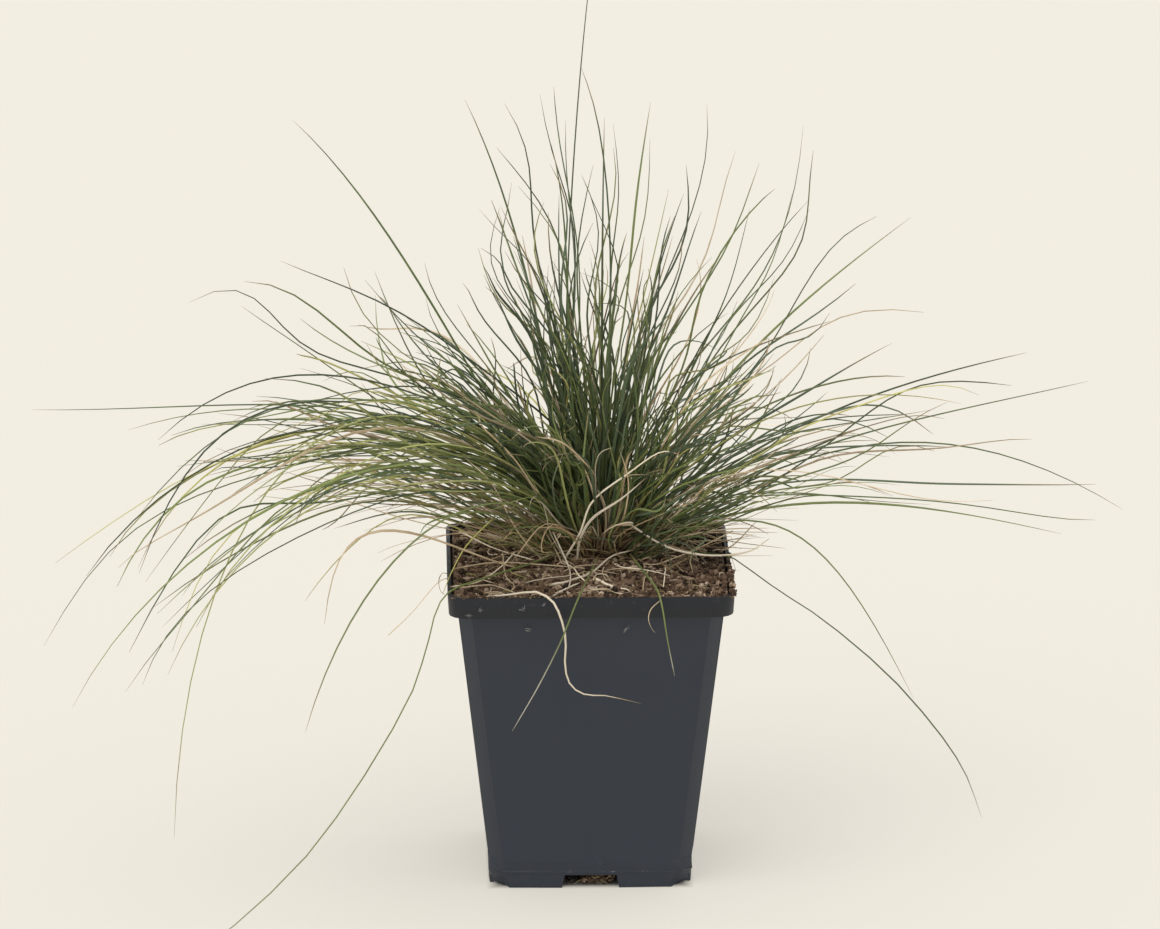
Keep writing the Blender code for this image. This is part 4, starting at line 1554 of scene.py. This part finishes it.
@dataclass
class RoutedLeaves:
    """The leaves that trail over the rim, the dead ones about the clump, and litter without a solid."""

    SIDE = np.array([0.3, -0.2, 1.0])

    trailing: tuple[Route, ...] = (
        Route("leaf_front_left_trailing", ((-7.5, -2, 101.8), (-22, -17, 101.5), (-36, -32, 101.2),
                                           (-44, -41.5, 100.8), (-48.5, -46.5, 96), (-52, -51.5, 84),
                                           (-58, -58, 69), (-74, -77, 47), (-91, -95, 29),
                                           (-112, -119, 16), (-123, -131, 12)),
              0.72, 0.24, Tone.GREEN),
        Route("leaf_right_trailing", ((19.5, 4.5, 101.8), (33, 0, 101.4), (44, -4.4, 101),
                                      (49, -6.2, 98.6), (60, -11, 91.5), (75, -16.5, 82.5),
                                      (94.5, -24, 67), (110, -30, 50), (118.5, -33, 37),
                                      (123.5, -35.5, 23.5)), 0.72, 0.24, Tone.DEEP_GREEN),
        Route("leaf_over_front_rim", ((3, -8, 102.5), (0, -24, 101), (-3, -43, 101),
                                      (-5.5, -48.5, 97), (-10, -50.5, 86), (-17, -51.5, 72),
                                      (-25, -52, 58)),
              1.12, 0.42, Tone.GREEN, 0.36),
        Route("leaf_over_front_rim_right", ((13, -7, 102.5), (17.5, -25, 101), (20.5, -43, 101),
                                            (22, -48, 96.5), (23.5, -49.5, 87), (25.8, -50, 75)),
              1.06, 0.40, Tone.GREEN, 0.16),
    )
    dead: tuple[Route, ...] = (
        Route("dead_leaf_curl", ((-34, -39, 96.4), (-26, -41, 98.6), (-18, -44, 101),
                                 (-12.5, -47.5, 99), (-9.8, -49, 94), (-8.2, -49, 87),
                                 (-8.4, -49, 78), (-6.6, -49.2, 72), (-2, -49.5, 69),
                                 (4.5, -49.5, 68.6), (15.3, -49.5, 66)),
              0.78, 0.3, Tone.STRAW),
        Route("dead_leaf_back_right", ((23, 20, 101.2), (30, 13, 100.4), (37, 7, 99.4),
                                       (45, 5, 101.2), (54, 12, 108))),
        Route("dead_leaf_front_right", ((16, -10, 101.2), (24, -3.5, 100.8), (33, -1, 98.9),
                                        (38, 1.5, 98.5))),
        Route("dead_leaf_fork_stem", ((-13, -26, 97.5), (-1, -20.5, 99.5), (7, -11, 103),
                                      (14, -9, 104.5)), 1.2, 0.6, Tone.STRAW),
        Route("dead_leaf_fork_right", ((1.5, -23, 99), (7, -28, 97.7), (13, -34, 97)), 1.1,
              tone=Tone.STRAW),
        Route("dead_leaf_fork_left", ((-12, -35, 96.6), (-7, -28, 97.5), (-3, -24.5, 98.4)), 1.1,
              tone=Tone.STRAW),
        Route("dead_leaf_front", ((19, -14, 99.8), (17, -23, 98), (16.4, -31, 96.6))),
        Route("dead_leaf_back_left", ((-32, 28, 99.6), (-26, 20, 100.4), (-18, 14, 102.6)),
              1.2, 0.6),
        Route("dead_leaf_bent_tall", ((-8, -9.5, 101.5), (-3, -15, 112), (1, -17, 123),
                                      (12, -18, 132), (22, -18.5, 139), (29, -18, 138)),
              1.1, 0.3, Tone.STRAW),
        Route("dead_leaf_bent_low", ((-4, -13.5, 102), (-3, -19, 111), (1, -21, 118.5),
                                     (10, -22, 125), (18, -22, 132)), 1.0, 0.3, Tone.STRAW),
    )

    litter: tuple[Route, ...] = (
        Route("straw_front_left_tall", ((-14, -8, 110.6), (-10.5, -11, 105), (-7.4, -14, 98.6)),
              0.5),
        Route("straw_front_left_long", ((-11.5, -8, 110.6), (-6.8, -16, 101.6), (-6.2, -24, 99.4),
                                        (-7, -31, 98.2)), 0.62, 0.3, Tone.STRAW),
        Route("straw_front_left_upright", ((-27.3, -8, 104), (-26.6, -20, 99.6), (-24, -29, 98.8),
                                           (-25, -33, 98.2)), 0.55),
        Route("straw_left_crossing", ((-43, -12, 99.5), (-30, -13, 101.8), (-16, -14, 101.4),
                                      (0, -17, 100.6), (10, -20, 99.6)), 0.55),
        Route("straw_left_slanting", ((-41, 6, 107), (-30, -2, 103.5), (-17, -10, 101.5)),
              0.8, 0.4, Tone.STRAW),
        Route("straw_left_corner", ((-44, -34, 99.8), (-35, -27, 99.6), (-28, -17, 101.5),
                                    (-23, -10, 105)), 0.6, 0.3, Tone.STRAW),
        Route("straw_right_long", ((12, -5, 112.5), (24, -12, 106.5), (37, -14, 104),
                                   (50, -12, 104.5), (57, -9, 108)), 0.85, 0.3, Tone.STRAW),
        Route("straw_right_crossing", ((46, 4, 107), (34, -3, 103), (20, -12, 100.2),
                                       (6, -19, 99.6)), 0.62),
        Route("straw_right_stub", ((24, -16, 101), (23.4, -23, 99), (22.8, -30, 98)),
              0.6, 0.4, Tone.STRAW),
        Route("yellow_leaf_over_left_rim", ((-30, -11, 116), (-36, -16, 111.5), (-40, -20, 107.6),
                                            (-43.8, -25, 101.6), (-46.5, -29, 96)), 0.8, 0.3,
              Tone.YELLOW_GREEN),
        Route("grey_straw_below_left_rim", ((-44, -26, 101), (-48.5, -29, 99.3), (-56, -35, 92),
                                            (-63.7, -40, 85.8)), 0.42),
        Route("curl_over_rim", ((21.6, -45.9, 98.6), (18.6, -46.6, 96.0), (17.7, -46.8, 93.0),
                                (18.4, -46.0, 90.0), (19.9, -44.6, 87.4)), 0.26, 0.14, Tone.TAN),
        Route("root_loop_left", ((-44.2, -18, 99.4), (-46.4, -20, 100.4), (-47.6, -24, 99.2),
                                 (-47.2, -28, 97.0), (-45.9, -31, 96.6)), 0.3, 0.2, Tone.BROWN),
    )

    @staticmethod
    def over_soil(line: np.ndarray, bed: SoilBed) -> np.ndarray:
        """Lift a line that lies in the loose soil to the top of it."""
        line = line.copy()
        over = bed.inside(line[:, 0], line[:, 1])
        top = bed.skin_height(line[:, 0], line[:, 1]) + 0.7
        line[over, 2] = np.maximum(line[over, 2], top[over])
        return line

    def build(self, bed: SoilBed, effects: Effects) -> list[bpy.types.Object]:
        """Build and dress every routed leaf and the litter."""
        rng = np.random.default_rng(Seed.ROUTED_LEAVES)
        green = BladeFinish("trailing_leaf", withered_colour=(0.520, 0.480, 0.400)).make(effects)
        dry = BladeFinish("dead_leaf", groove_shade=0.2, patchiness=0.10, gloss=0.65).make(effects)
        loose = BladeMesh("loose_straws")
        for route in self.litter:
            self.lay(loose, route, bed, rng, (0.4, 0.9), 0.0, 0.06)
        pieces = [place_piece(loose.build(), dry, "dead_leaf")]
        for routes, skin, slot, sheath in ((self.trailing, green, "green_leaf", 8.0),
                                           (self.dead, dry, "dead_leaf", 0.0)):
            for route in routes:
                mesh = BladeMesh(f"{route.name}_blade")
                self.lay(mesh, route, bed, rng, (0.35, 0.75), sheath, route.wither)
                pieces.append(place_piece(mesh.build(), skin, slot, route.name))
        return pieces

    def lay(self, mesh: BladeMesh, route: Route, bed: SoilBed, rng: np.random.Generator,
            chance: tuple[float, float], sheath: float, wither: float) -> None:
        """Lay one leaf along its route.

        Args:
            mesh: what it is added to.
            route: where it lies.
            bed: the soil under it.
            rng: where its chances are drawn from.
            chance: the span of its lightness.
            sheath: how long its dry foot is.
            wither: how much of it is withered, as a share.
        """
        line = self.over_soil(smooth_route(route.points), bed)
        mesh.add(line, self.SIDE, BladeLook(
            tone=route.tone.value, width=route.width, tip=route.tip, depth=0.7, taper=2.2,
            sheath=sheath, wither=wither, chance=rng.uniform(*chance), twist=rng.normal(0, 90)))


@dataclass
class Thatch:
    """The tangle of dead leaves low in the clump, over the soil and past the rim."""

    strands: int = 116
    lying: int = 46
    right_tangle: int = 34

    def build(self, bed: SoilBed, effects: Effects) -> list[bpy.types.Object]:
        """Build and dress the thatch."""
        dry = BladeFinish("thatch_leaf", groove_shade=0.2, patchiness=0.14, gloss=0.65).make(effects)
        return [place_piece(self.low_leaves(bed), dry, "dead_leaf"),
                place_piece(self.soil_straws(bed), dry, "dead_leaf"),
                place_piece(self.tangle(bed), dry, "dead_leaf")]

    def tangle(self, bed: SoilBed) -> bpy.types.Object:
        """Cross thin dead leaves over the dark soil at the back right, and past the rim there."""
        growth = Growth(bed, Seed.TANGLE)
        rng = growth.rng
        mesh = BladeMesh("right_tangle")
        for _ in range(self.right_tangle):
            start = np.array([rng.uniform(12, 34), rng.uniform(-8, 26), rng.uniform(99.5, 108)])
            heading = radians(rng.normal(-2, 34))
            length = rng.uniform(18, 48)
            end = start + slope_line(heading, 0.0) * length
            end[2] += rng.normal(1.0, 5.0)
            middle = (start + end) / 2 + rng.normal(0, [2.5, 2.5, 2.0])
            line = growth.clear(smooth_route((start, middle, end)))
            mesh.add(line, crossways(heading, 0.1), BladeLook(
                tone=DEAD_MIX.pick(rng).value, width=rng.uniform(0.22, 0.42), tip=0.12, sheath=0.0,
                wither=0.05, chance=rng.uniform(0.0, 0.7), twist=rng.normal(0, 90)))
        return mesh.build()

    def low_leaves(self, bed: SoilBed) -> bpy.types.Object:
        """Grow thin dead leaves that leave the crown low and wander outward."""
        growth = Growth(bed, Seed.THATCH)
        rng = growth.rng
        mesh = BladeMesh("thatch")
        for _ in range(self.strands):
            bearings = [rng.normal(195, 26), rng.normal(352, 24), rng.uniform(0, 360)]
            azimuth = float(rng.choice(bearings, p=[0.60, 0.17, 0.23]))
            reach = float(rng.uniform(40, 112))
            if faces_front(azimuth):
                reach = min(reach, 46.0)
            arc = Arc("strand", azimuth, rng.uniform(18, 44), reach,
                      104 + rng.uniform(0, 20) + 0.10 * reach, rng.uniform(-35, 12), 0.34)
            line = growth.strand(azimuth, growth.shoot_controls(arc, 1.0, 0.0, 6.0), 2.2)
            mesh.add(line, crossways(radians(azimuth)), BladeLook(
                tone=THATCH_MIX.pick(rng).value - rng.uniform(0, 0.05),
                width=rng.uniform(0.3, 0.62), tip=rng.uniform(0.1, 0.2), sheath=rng.uniform(0, 6),
                wither=0.05, chance=rng.random(), twist=rng.normal(0, 140)))
        return mesh.build()

    def soil_straws(self, bed: SoilBed) -> bpy.types.Object:
        """Lay short lengths of dead leaf over the soil, some with a sharp bend."""
        rng = np.random.default_rng(Seed.SOIL_STRAWS)
        mesh = BladeMesh("soil_straws")
        x, y = bed.scatter(self.lying, rng, 8.0)
        for px, py in zip(x, y):
            length = rng.uniform(12, 34)
            heading = rng.uniform(0, 2 * pi)
            t = np.linspace(-0.5, 0.5, LEAF_POINTS)
            kink = rng.normal(0, 0.9) * np.clip((t - rng.uniform(-0.2, 0.2)) * 8, 0, 1)
            turn = heading + rng.normal(0, 0.7) * t + kink
            step = length / (LEAF_POINTS - 1)
            line_x = px + np.cumsum(np.cos(turn)) * step - length / 2 * cos(heading)
            line_y = py + np.cumsum(np.sin(turn)) * step - length / 2 * sin(heading)
            line_x, line_y = bed.keep_in(1.5, line_x, line_y)
            ground = bed.skin_height(line_x, line_y)
            arch = rng.uniform(0.3, 3.2) * (1 - (2 * t) ** 2) + rng.normal(0, 1.4) * (t + 0.5)
            line_z = np.maximum(ground.mean() + 0.8 + arch, ground + 0.3)
            line = np.column_stack([line_x, line_y, line_z])
            mesh.add(line, crossways(heading, 0.1), BladeLook(
                tone=DEAD_MIX.pick(rng).value, width=rng.uniform(0.34, 0.7), tip=0.2, sheath=0.0,
                wither=0.05, chance=rng.uniform(0.3, 1.0), twist=rng.normal(0, 90)))
        return mesh.build()


@dataclass
class CrownSheaths:
    """The woody crown, thick with the dry stubs of old sheaths."""

    stubs: int = 230
    lowest: float = 100.4

    def build(self, bed: SoilBed, effects: Effects) -> list[bpy.types.Object]:
        """Build and dress the crown."""
        bark = BladeFinish("crown_sheaths", sheath_colour=(0.150, 0.098, 0.050),
                           withered_colour=(0.28, 0.19, 0.10), patchiness=0.25, gloss=0.7)
        skin = bark.make(effects)
        return [place_piece(self.crown_mesh(bed), skin, "crown_sheaths", "crown")]

    def crown_mesh(self, bed: SoilBed) -> bpy.types.Object:
        """Make the stubs, packed over the dome and leaning outward."""
        growth = Growth(bed, Seed.CROWN)
        rng = growth.rng
        mesh = BladeMesh("crown_stubs")
        for _ in range(self.stubs):
            azimuth = rng.uniform(0, 360)
            slope = np.degrees(np.arcsin(rng.uniform(0.46, 1.0)))
            direction = slope_line(radians(slope), 0.0)
            middle = np.array([0.0, growth.crown.centre_height, 0.0])
            start = middle + direction * (growth.crown.radius - 4.5)
            length = rng.uniform(7, 14)
            bend = rng.normal(0, 1.6, 3)
            controls = np.array([start, start + direction * length * 0.35,
                                 start + direction * length * 0.7 + bend * 0.4,
                                 start + direction * length + bend])
            line = growth.to_world(bezier(controls), azimuth)
            line[:, 2] = np.maximum(line[:, 2], self.lowest)
            mesh.add(line, crossways(radians(azimuth)), BladeLook(
                tone=Tone.BROWN.value + rng.uniform(-0.02, 0.14), width=rng.uniform(1.3, 2.6),
                tip=0.4, depth=0.8, taper=2.6, sheath=rng.uniform(6, 14), wither=0.25,
                chance=rng.random()))
        return mesh.build()


@dataclass
class Pot:
    """The pot with its finish, and the soil, roots and lint that cling to it."""

    rim_half: float = 45.0
    rim_top: float = 99.0
    foot_half: float = 32.4
    foot_corner_cuts: tuple[float, ...] = (25.8, 26.8, 27.6)
    foot_level_cuts: tuple[float, ...] = (1.2, 2.4, 3.6, 4.8, 6.0)
    foot_round: float = 6.0
    foot_corner_from: float = 57.4
    foot_corner_to: float = 60.2
    foot_corner_lift: float = 2.5
    foot_corner_tuck: float = 0.068
    foot_band: float = 9.0
    ankle_half: float = 32.16
    edge_round: float = 0.28
    crumbs: int = 260
    drain_crumbs: int = 130
    notch_half: float = 7.6
    roots: int = 74
    lint: tuple[tuple[float, float, float, float], ...] = (
        (-21.6, 45.2, 96.0, 2.2), (-38.0, 45.1, 93.6, 1.6), (-19.6, 41.9, 88.0, 1.5),
        (11.0, 42.0, 88.2, 1.6), (-34.8, 45.2, 95.6, 1.4), (-15.0, 45.3, 97.0, 1.2))

    def build(self, effects: Effects) -> list[bpy.types.Object]:
        """Build and dress the pot and what clings to it."""
        loose = SoilFinish("rim_soil", by_piece=True, relief=0.25).make(effects)
        roots = BladeFinish("drain_root", groove_shade=0.1, patchiness=0.12, gloss=0.7).make(effects)
        lint = BladeFinish("lint_fibre", sheath_colour=(0.30, 0.30, 0.31), gloss=0.7).make(effects)
        return [
            place_piece(self.shell(), PotFinish().make(effects), "pot_plastic", "pot"),
            place_piece(self.rim_crumbs(), loose, "potting_soil"),
            place_piece(self.drain_soil(), loose, "potting_soil"),
            place_piece(self.drain_roots(), roots, "dead_leaf"),
            place_piece(self.lint_specks(), lint, "dead_leaf"),
        ]

    def shell(self) -> bpy.types.Object:
        """Round the edges and the foot's lower corners on a copy of the CAD pot."""
        bm = bmesh.new()
        bm.from_mesh(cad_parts["pot"].data)
        bmesh.ops.remove_doubles(bm, verts=bm.verts, dist=2e-6)
        cuts = [(axis, cut * sign) for axis in ((1, 0, 0), (0, 1, 0))
                for cut in self.foot_corner_cuts for sign in (-1, 1)]
        cuts += [((0, 0, 1), height) for height in self.foot_level_cuts]
        for axis, place in cuts:
            bmesh.ops.bisect_plane(bm, geom=bm.verts[:] + bm.edges[:] + bm.faces[:], dist=1e-7,
                                   plane_co=Vector(axis) * place * MM, plane_no=axis)
        for vert in bm.verts:
            self.shape_foot(vert)
        bmesh.ops.remove_doubles(bm, verts=bm.verts, dist=0.03 * MM)
        bmesh.ops.dissolve_limit(bm, angle_limit=radians(0.6), verts=bm.verts, edges=bm.edges)
        hard = [edge for edge in bm.edges if edge.calc_face_angle(0.0) > radians(25)
                and not any(self.in_foot_corner(vert) for vert in edge.verts)]
        bmesh.ops.bevel(bm, geom=hard, offset=self.edge_round * MM, offset_type="OFFSET", segments=2,
                        profile=0.5, affect="EDGES", clamp_overlap=True)
        mesh = bpy.data.meshes.new("pot_shell")
        bm.to_mesh(mesh)
        bm.free()
        mesh.shade_smooth()
        mesh.set_sharp_from_angle(angle=radians(38))
        return put_in_scene("pot_shell", mesh)

    def cornerness(self, vert: bmesh.types.BMVert) -> float:
        """Tell how far a point is into a corner of the foot, from 0 to 1."""
        out = (abs(vert.co.x) + abs(vert.co.y)) / MM - self.foot_corner_from
        return min(max(out / (self.foot_corner_to - self.foot_corner_from), 0.0), 1.0)

    def in_foot_corner(self, vert: bmesh.types.BMVert) -> bool:
        """Tell whether a point is in the rounded part of a corner of the foot."""
        return vert.co.z < self.foot_round * MM and self.cornerness(vert) > 0.0

    def shape_foot(self, vert: bmesh.types.BMVert) -> None:
        """Draw a point of the foot in to the line of the sides, and round the lower corners."""
        widest = max(abs(vert.co.x), abs(vert.co.y)) / MM
        if vert.co.z / MM < self.foot_band + 0.05 and widest > self.ankle_half:
            vert.co.xy *= self.ankle_half / self.foot_half
        low = 1.0 - vert.co.z / MM / self.foot_round
        if low > 0.0:
            corner = self.cornerness(vert)
            vert.co.z += self.foot_corner_lift * MM * low ** 2 * corner ** 1.6
            vert.co.xy *= 1.0 - self.foot_corner_tuck * low ** 2 * corner

    def lint_specks(self) -> bpy.types.Object:
        """Stick the small specks of dry fibre on the front of the rim and under it."""
        rng = np.random.default_rng(Seed.LINT)
        mesh = BladeMesh("lint_specks")
        for x, out, height, size in self.lint:
            lie = rng.normal(0.6, 0.5)
            for _ in range(5):
                heading = lie + rng.normal(0, 0.35)
                square = np.array([-sin(heading), 0.0, cos(heading)])
                middle = np.array([x + rng.normal(0, 0.3), -out, height + rng.normal(0, 0.25)])
                reach = np.array([cos(heading), 0.0, sin(heading)]) * size * rng.uniform(0.3, 0.75)
                bow = np.array([0.0, -rng.uniform(0.02, 0.12), 0.0]) + square * rng.normal(0, 0.22)
                line = smooth_route((middle - reach, middle + bow, middle + reach))
                mesh.add(line, np.array([0.0, -1.0, 0.3]), BladeLook(
                    tone=Tone.STRAW.value, width=rng.uniform(0.07, 0.17), tip=0.05, sheath=90.0,
                    chance=rng.uniform(0.0, 0.5)))
        return mesh.build()

    def drain_soil(self) -> bpy.types.Object:
        """Pile the few crumbs that have fallen out behind the notch."""
        rng = np.random.default_rng(Seed.DRAIN_SOIL)
        count = self.drain_crumbs
        size = rng.lognormal(-0.7, 0.4, count).clip(0.2, 1.0)
        points = lumps(rng.uniform(0.7, 1.2, (count, LUMP_CORNERS, 1)),
                       size[:, None] * rng.uniform(0.6, 1.2, (count, 3)), rng)
        x = rng.normal(1.2, 3.0, count).clip(-7.5, 7.5)
        y = -self.foot_half + rng.uniform(2.0, 9.0, count)
        z = 1.1 + rng.beta(1.4, 1.8, count) * 3.0 * np.exp(-((x - 1.2) / 4.5) ** 2)
        return join_copies("drain_soil", points + np.column_stack([x, y, z])[:, None, :], LUMP_FACES,
                           rng.beta(1.4, 2.2, count) * 0.62)

    def drain_roots(self) -> bpy.types.Object:
        """Grow the few roots and fibres that hang out of the notch in the front of the foot."""
        rng = np.random.default_rng(Seed.DRAIN_ROOTS)
        mesh = BladeMesh("drain_roots")
        for _ in range(self.roots):
            x = float(np.clip(rng.normal(2.2, 2.3), -5.5, 6.5))
            y = -self.foot_half + rng.uniform(0.6, 7.0)
            start = np.array([x, y, rng.uniform(1.6, 4.5)])
            heading = rng.uniform(0, 2 * pi)
            reach = rng.uniform(1.0, 3.6)
            middle = start + np.array([cos(heading), 0.4 * sin(heading), -0.35]) * reach * 0.5
            turned = cos(heading + rng.normal(0, 0.9))
            end = middle + np.array([turned, 0.3 * sin(heading), -0.5]) * reach * 0.6
            end[2] = max(end[2], 0.35)
            end[0] = np.clip(end[0], 0.2 - self.notch_half, self.notch_half - 0.2)
            line = smooth_route((start, middle, end))
            line[:, 2] = np.maximum(line[:, 2], 0.3)
            line[:, 0] = np.clip(line[:, 0], -self.notch_half, self.notch_half)
            width = rng.uniform(0.10, 0.30)
            mesh.add(line, np.array([0.0, 1.0, 0.2]), BladeLook(
                tone=Tone.BROWN.value + rng.uniform(-0.03, 0.06), width=width, tip=width * 0.4,
                sheath=0.0, wither=0.1, chance=rng.uniform(0.0, 0.7), twist=rng.normal(0, 90)))
        return mesh.build()

    def rim_crumbs(self) -> bpy.types.Object:
        """Scatter crumbs along the rim, most of them at the front right corner."""
        rng = np.random.default_rng(Seed.RIM_CRUMBS)
        count = self.crumbs
        along = self.rim_half - 0.5
        place = rng.uniform(-along, along, count)
        right = rng.random(count) < 0.70
        place = np.where(right, rng.normal(-26, 12, count).clip(-along + 3, along), place)
        edge = along + rng.normal(0, 0.35, count)
        x, y = np.where(right, edge, place), np.where(right, place, -edge)
        size = rng.lognormal(-0.75, 0.45, count).clip(0.16, 1.3)
        size = np.where(right, size, size * 0.5)
        sizes = size[:, None] * rng.uniform(0.6, 1.2, (count, 3))
        points = lumps(rng.uniform(0.7, 1.2, (count, LUMP_CORNERS, 1)), sizes, rng)
        middle = np.column_stack([x, y, self.rim_top + size * 0.35])
        return join_copies("rim_crumbs", points + middle[:, None, :], LUMP_FACES,
                           rng.beta(1.6, 2.6, count))


# The studio -------------------------------------------------------------------------------------


@dataclass(frozen=True)
class Sun:
    """One broad soft light, far away."""

    name: str
    direction: Point
    strength: float
    spread: float
    colour: Colour = (1.0, 1.0, 1.0)

    def build(self) -> None:
        """Hang the light."""
        lamp = bpy.data.lights.new(self.name, "SUN")
        lamp.energy = self.strength
        lamp.angle = radians(self.spread)
        lamp.color = self.colour
        obj = put_in_scene(self.name, lamp)
        obj.rotation_euler = Vector(self.direction).to_track_quat("Z", "Y").to_euler()


@dataclass
class Studio:
    """A cream floor without an end, soft light all round, and the camera."""

    floor_half: float = 14.0
    sky: Colour = (0.80, 0.790, 0.775)
    paper: Colour = (0.885, 0.842, 0.755)
    elevation: float = 15.0
    yaw: float = -1.28
    distance: float = 2.6
    lens: float = 254.9
    target: Point = (-2.655, 0.0, 130.22)
    suns: tuple[Sun, ...] = (
        Sun("key_light", (-0.45, -0.60, 1.0), 0.85, 50.0, (1.0, 0.985, 0.96)),
        Sun("fill_light", (0.60, 0.30, 0.9), 0.35, 80.0),
    )

    def build(self, effects: Effects) -> None:
        """Set up the floor, the light and the camera."""
        half = self.floor_half / MM
        corners = np.array([(-half, -half, 0), (half, -half, 0), (half, half, 0), (-half, half, 0)])
        floor = object_from_arrays("floor", corners, [(0, 1, 2, 3)], {}, smooth=False)
        floor.data.materials.append(FloorFinish().make(effects))
        for sun in self.suns:
            sun.build()
        self.build_sky()
        self.build_camera()
        bpy.context.scene.view_settings.view_transform = "Standard"

    def build_sky(self) -> None:
        """Light the scene evenly from all round, and show paper beyond the floor."""
        world = bpy.data.worlds.new("studio_air")
        world.use_nodes = True
        board = NodeBoard(world.node_tree)
        lights = world.node_tree.nodes["Background"]
        board.wire(lights, Color=self.sky)
        seen = board.node("ShaderNodeBackground")
        board.wire(seen, Color=self.paper)
        mixed = board.node("ShaderNodeMixShader")
        board.feed(mixed.inputs[0], board.node("ShaderNodeLightPath").outputs["Is Camera Ray"])
        board.feed(mixed.inputs[1], lights.outputs[0])
        board.feed(mixed.inputs[2], seen.outputs[0])
        board.wire(world.node_tree.nodes["World Output"], Surface=mixed.outputs[0])
        bpy.context.scene.world = world

    def build_camera(self) -> None:
        """Place the camera a little above the rim, looking slightly down."""
        tilt, turn = radians(self.elevation), radians(self.yaw)
        back = Vector((sin(turn) * cos(tilt), -cos(turn) * cos(tilt), sin(tilt)))
        lens = bpy.data.cameras.new("camera")
        lens.lens = self.lens
        lens.sensor_width = 36.0
        lens.clip_start = 0.05
        lens.clip_end = 100.0
        camera = put_in_scene("camera", lens)
        camera.location = Vector(self.target) * MM + back * self.distance
        camera.rotation_euler = back.to_track_quat("Z", "Y").to_euler()
        bpy.context.scene.camera = camera


def main() -> None:
    """Build the studio, the pot, the soil and the plant, and report each piece."""
    logging.basicConfig(level=logging.INFO, format="%(name)s: %(message)s")
    effects = Effects()
    Studio().build(effects)
    bed = SoilBed()
    built = {
        "pot": Pot().build(effects),
        "soil": bed.build(effects),
        "crown": CrownSheaths().build(bed, effects),
        "tufts": Tufts().build(bed, effects),
        "sweeping leaves": Sweeps().build(bed, effects),
        "single leaves": SingleLeaves().build(bed, effects),
        "routed leaves": RoutedLeaves().build(bed, effects),
        "thatch": Thatch().build(bed, effects),
    }
    for part, pieces in built.items():
        for piece in pieces:
            piece.data.calc_loop_triangles()
            log.info("%s: %s, %d triangles", part, piece.name, len(piece.data.loop_triangles))


if __name__ == "__main__":
    main()
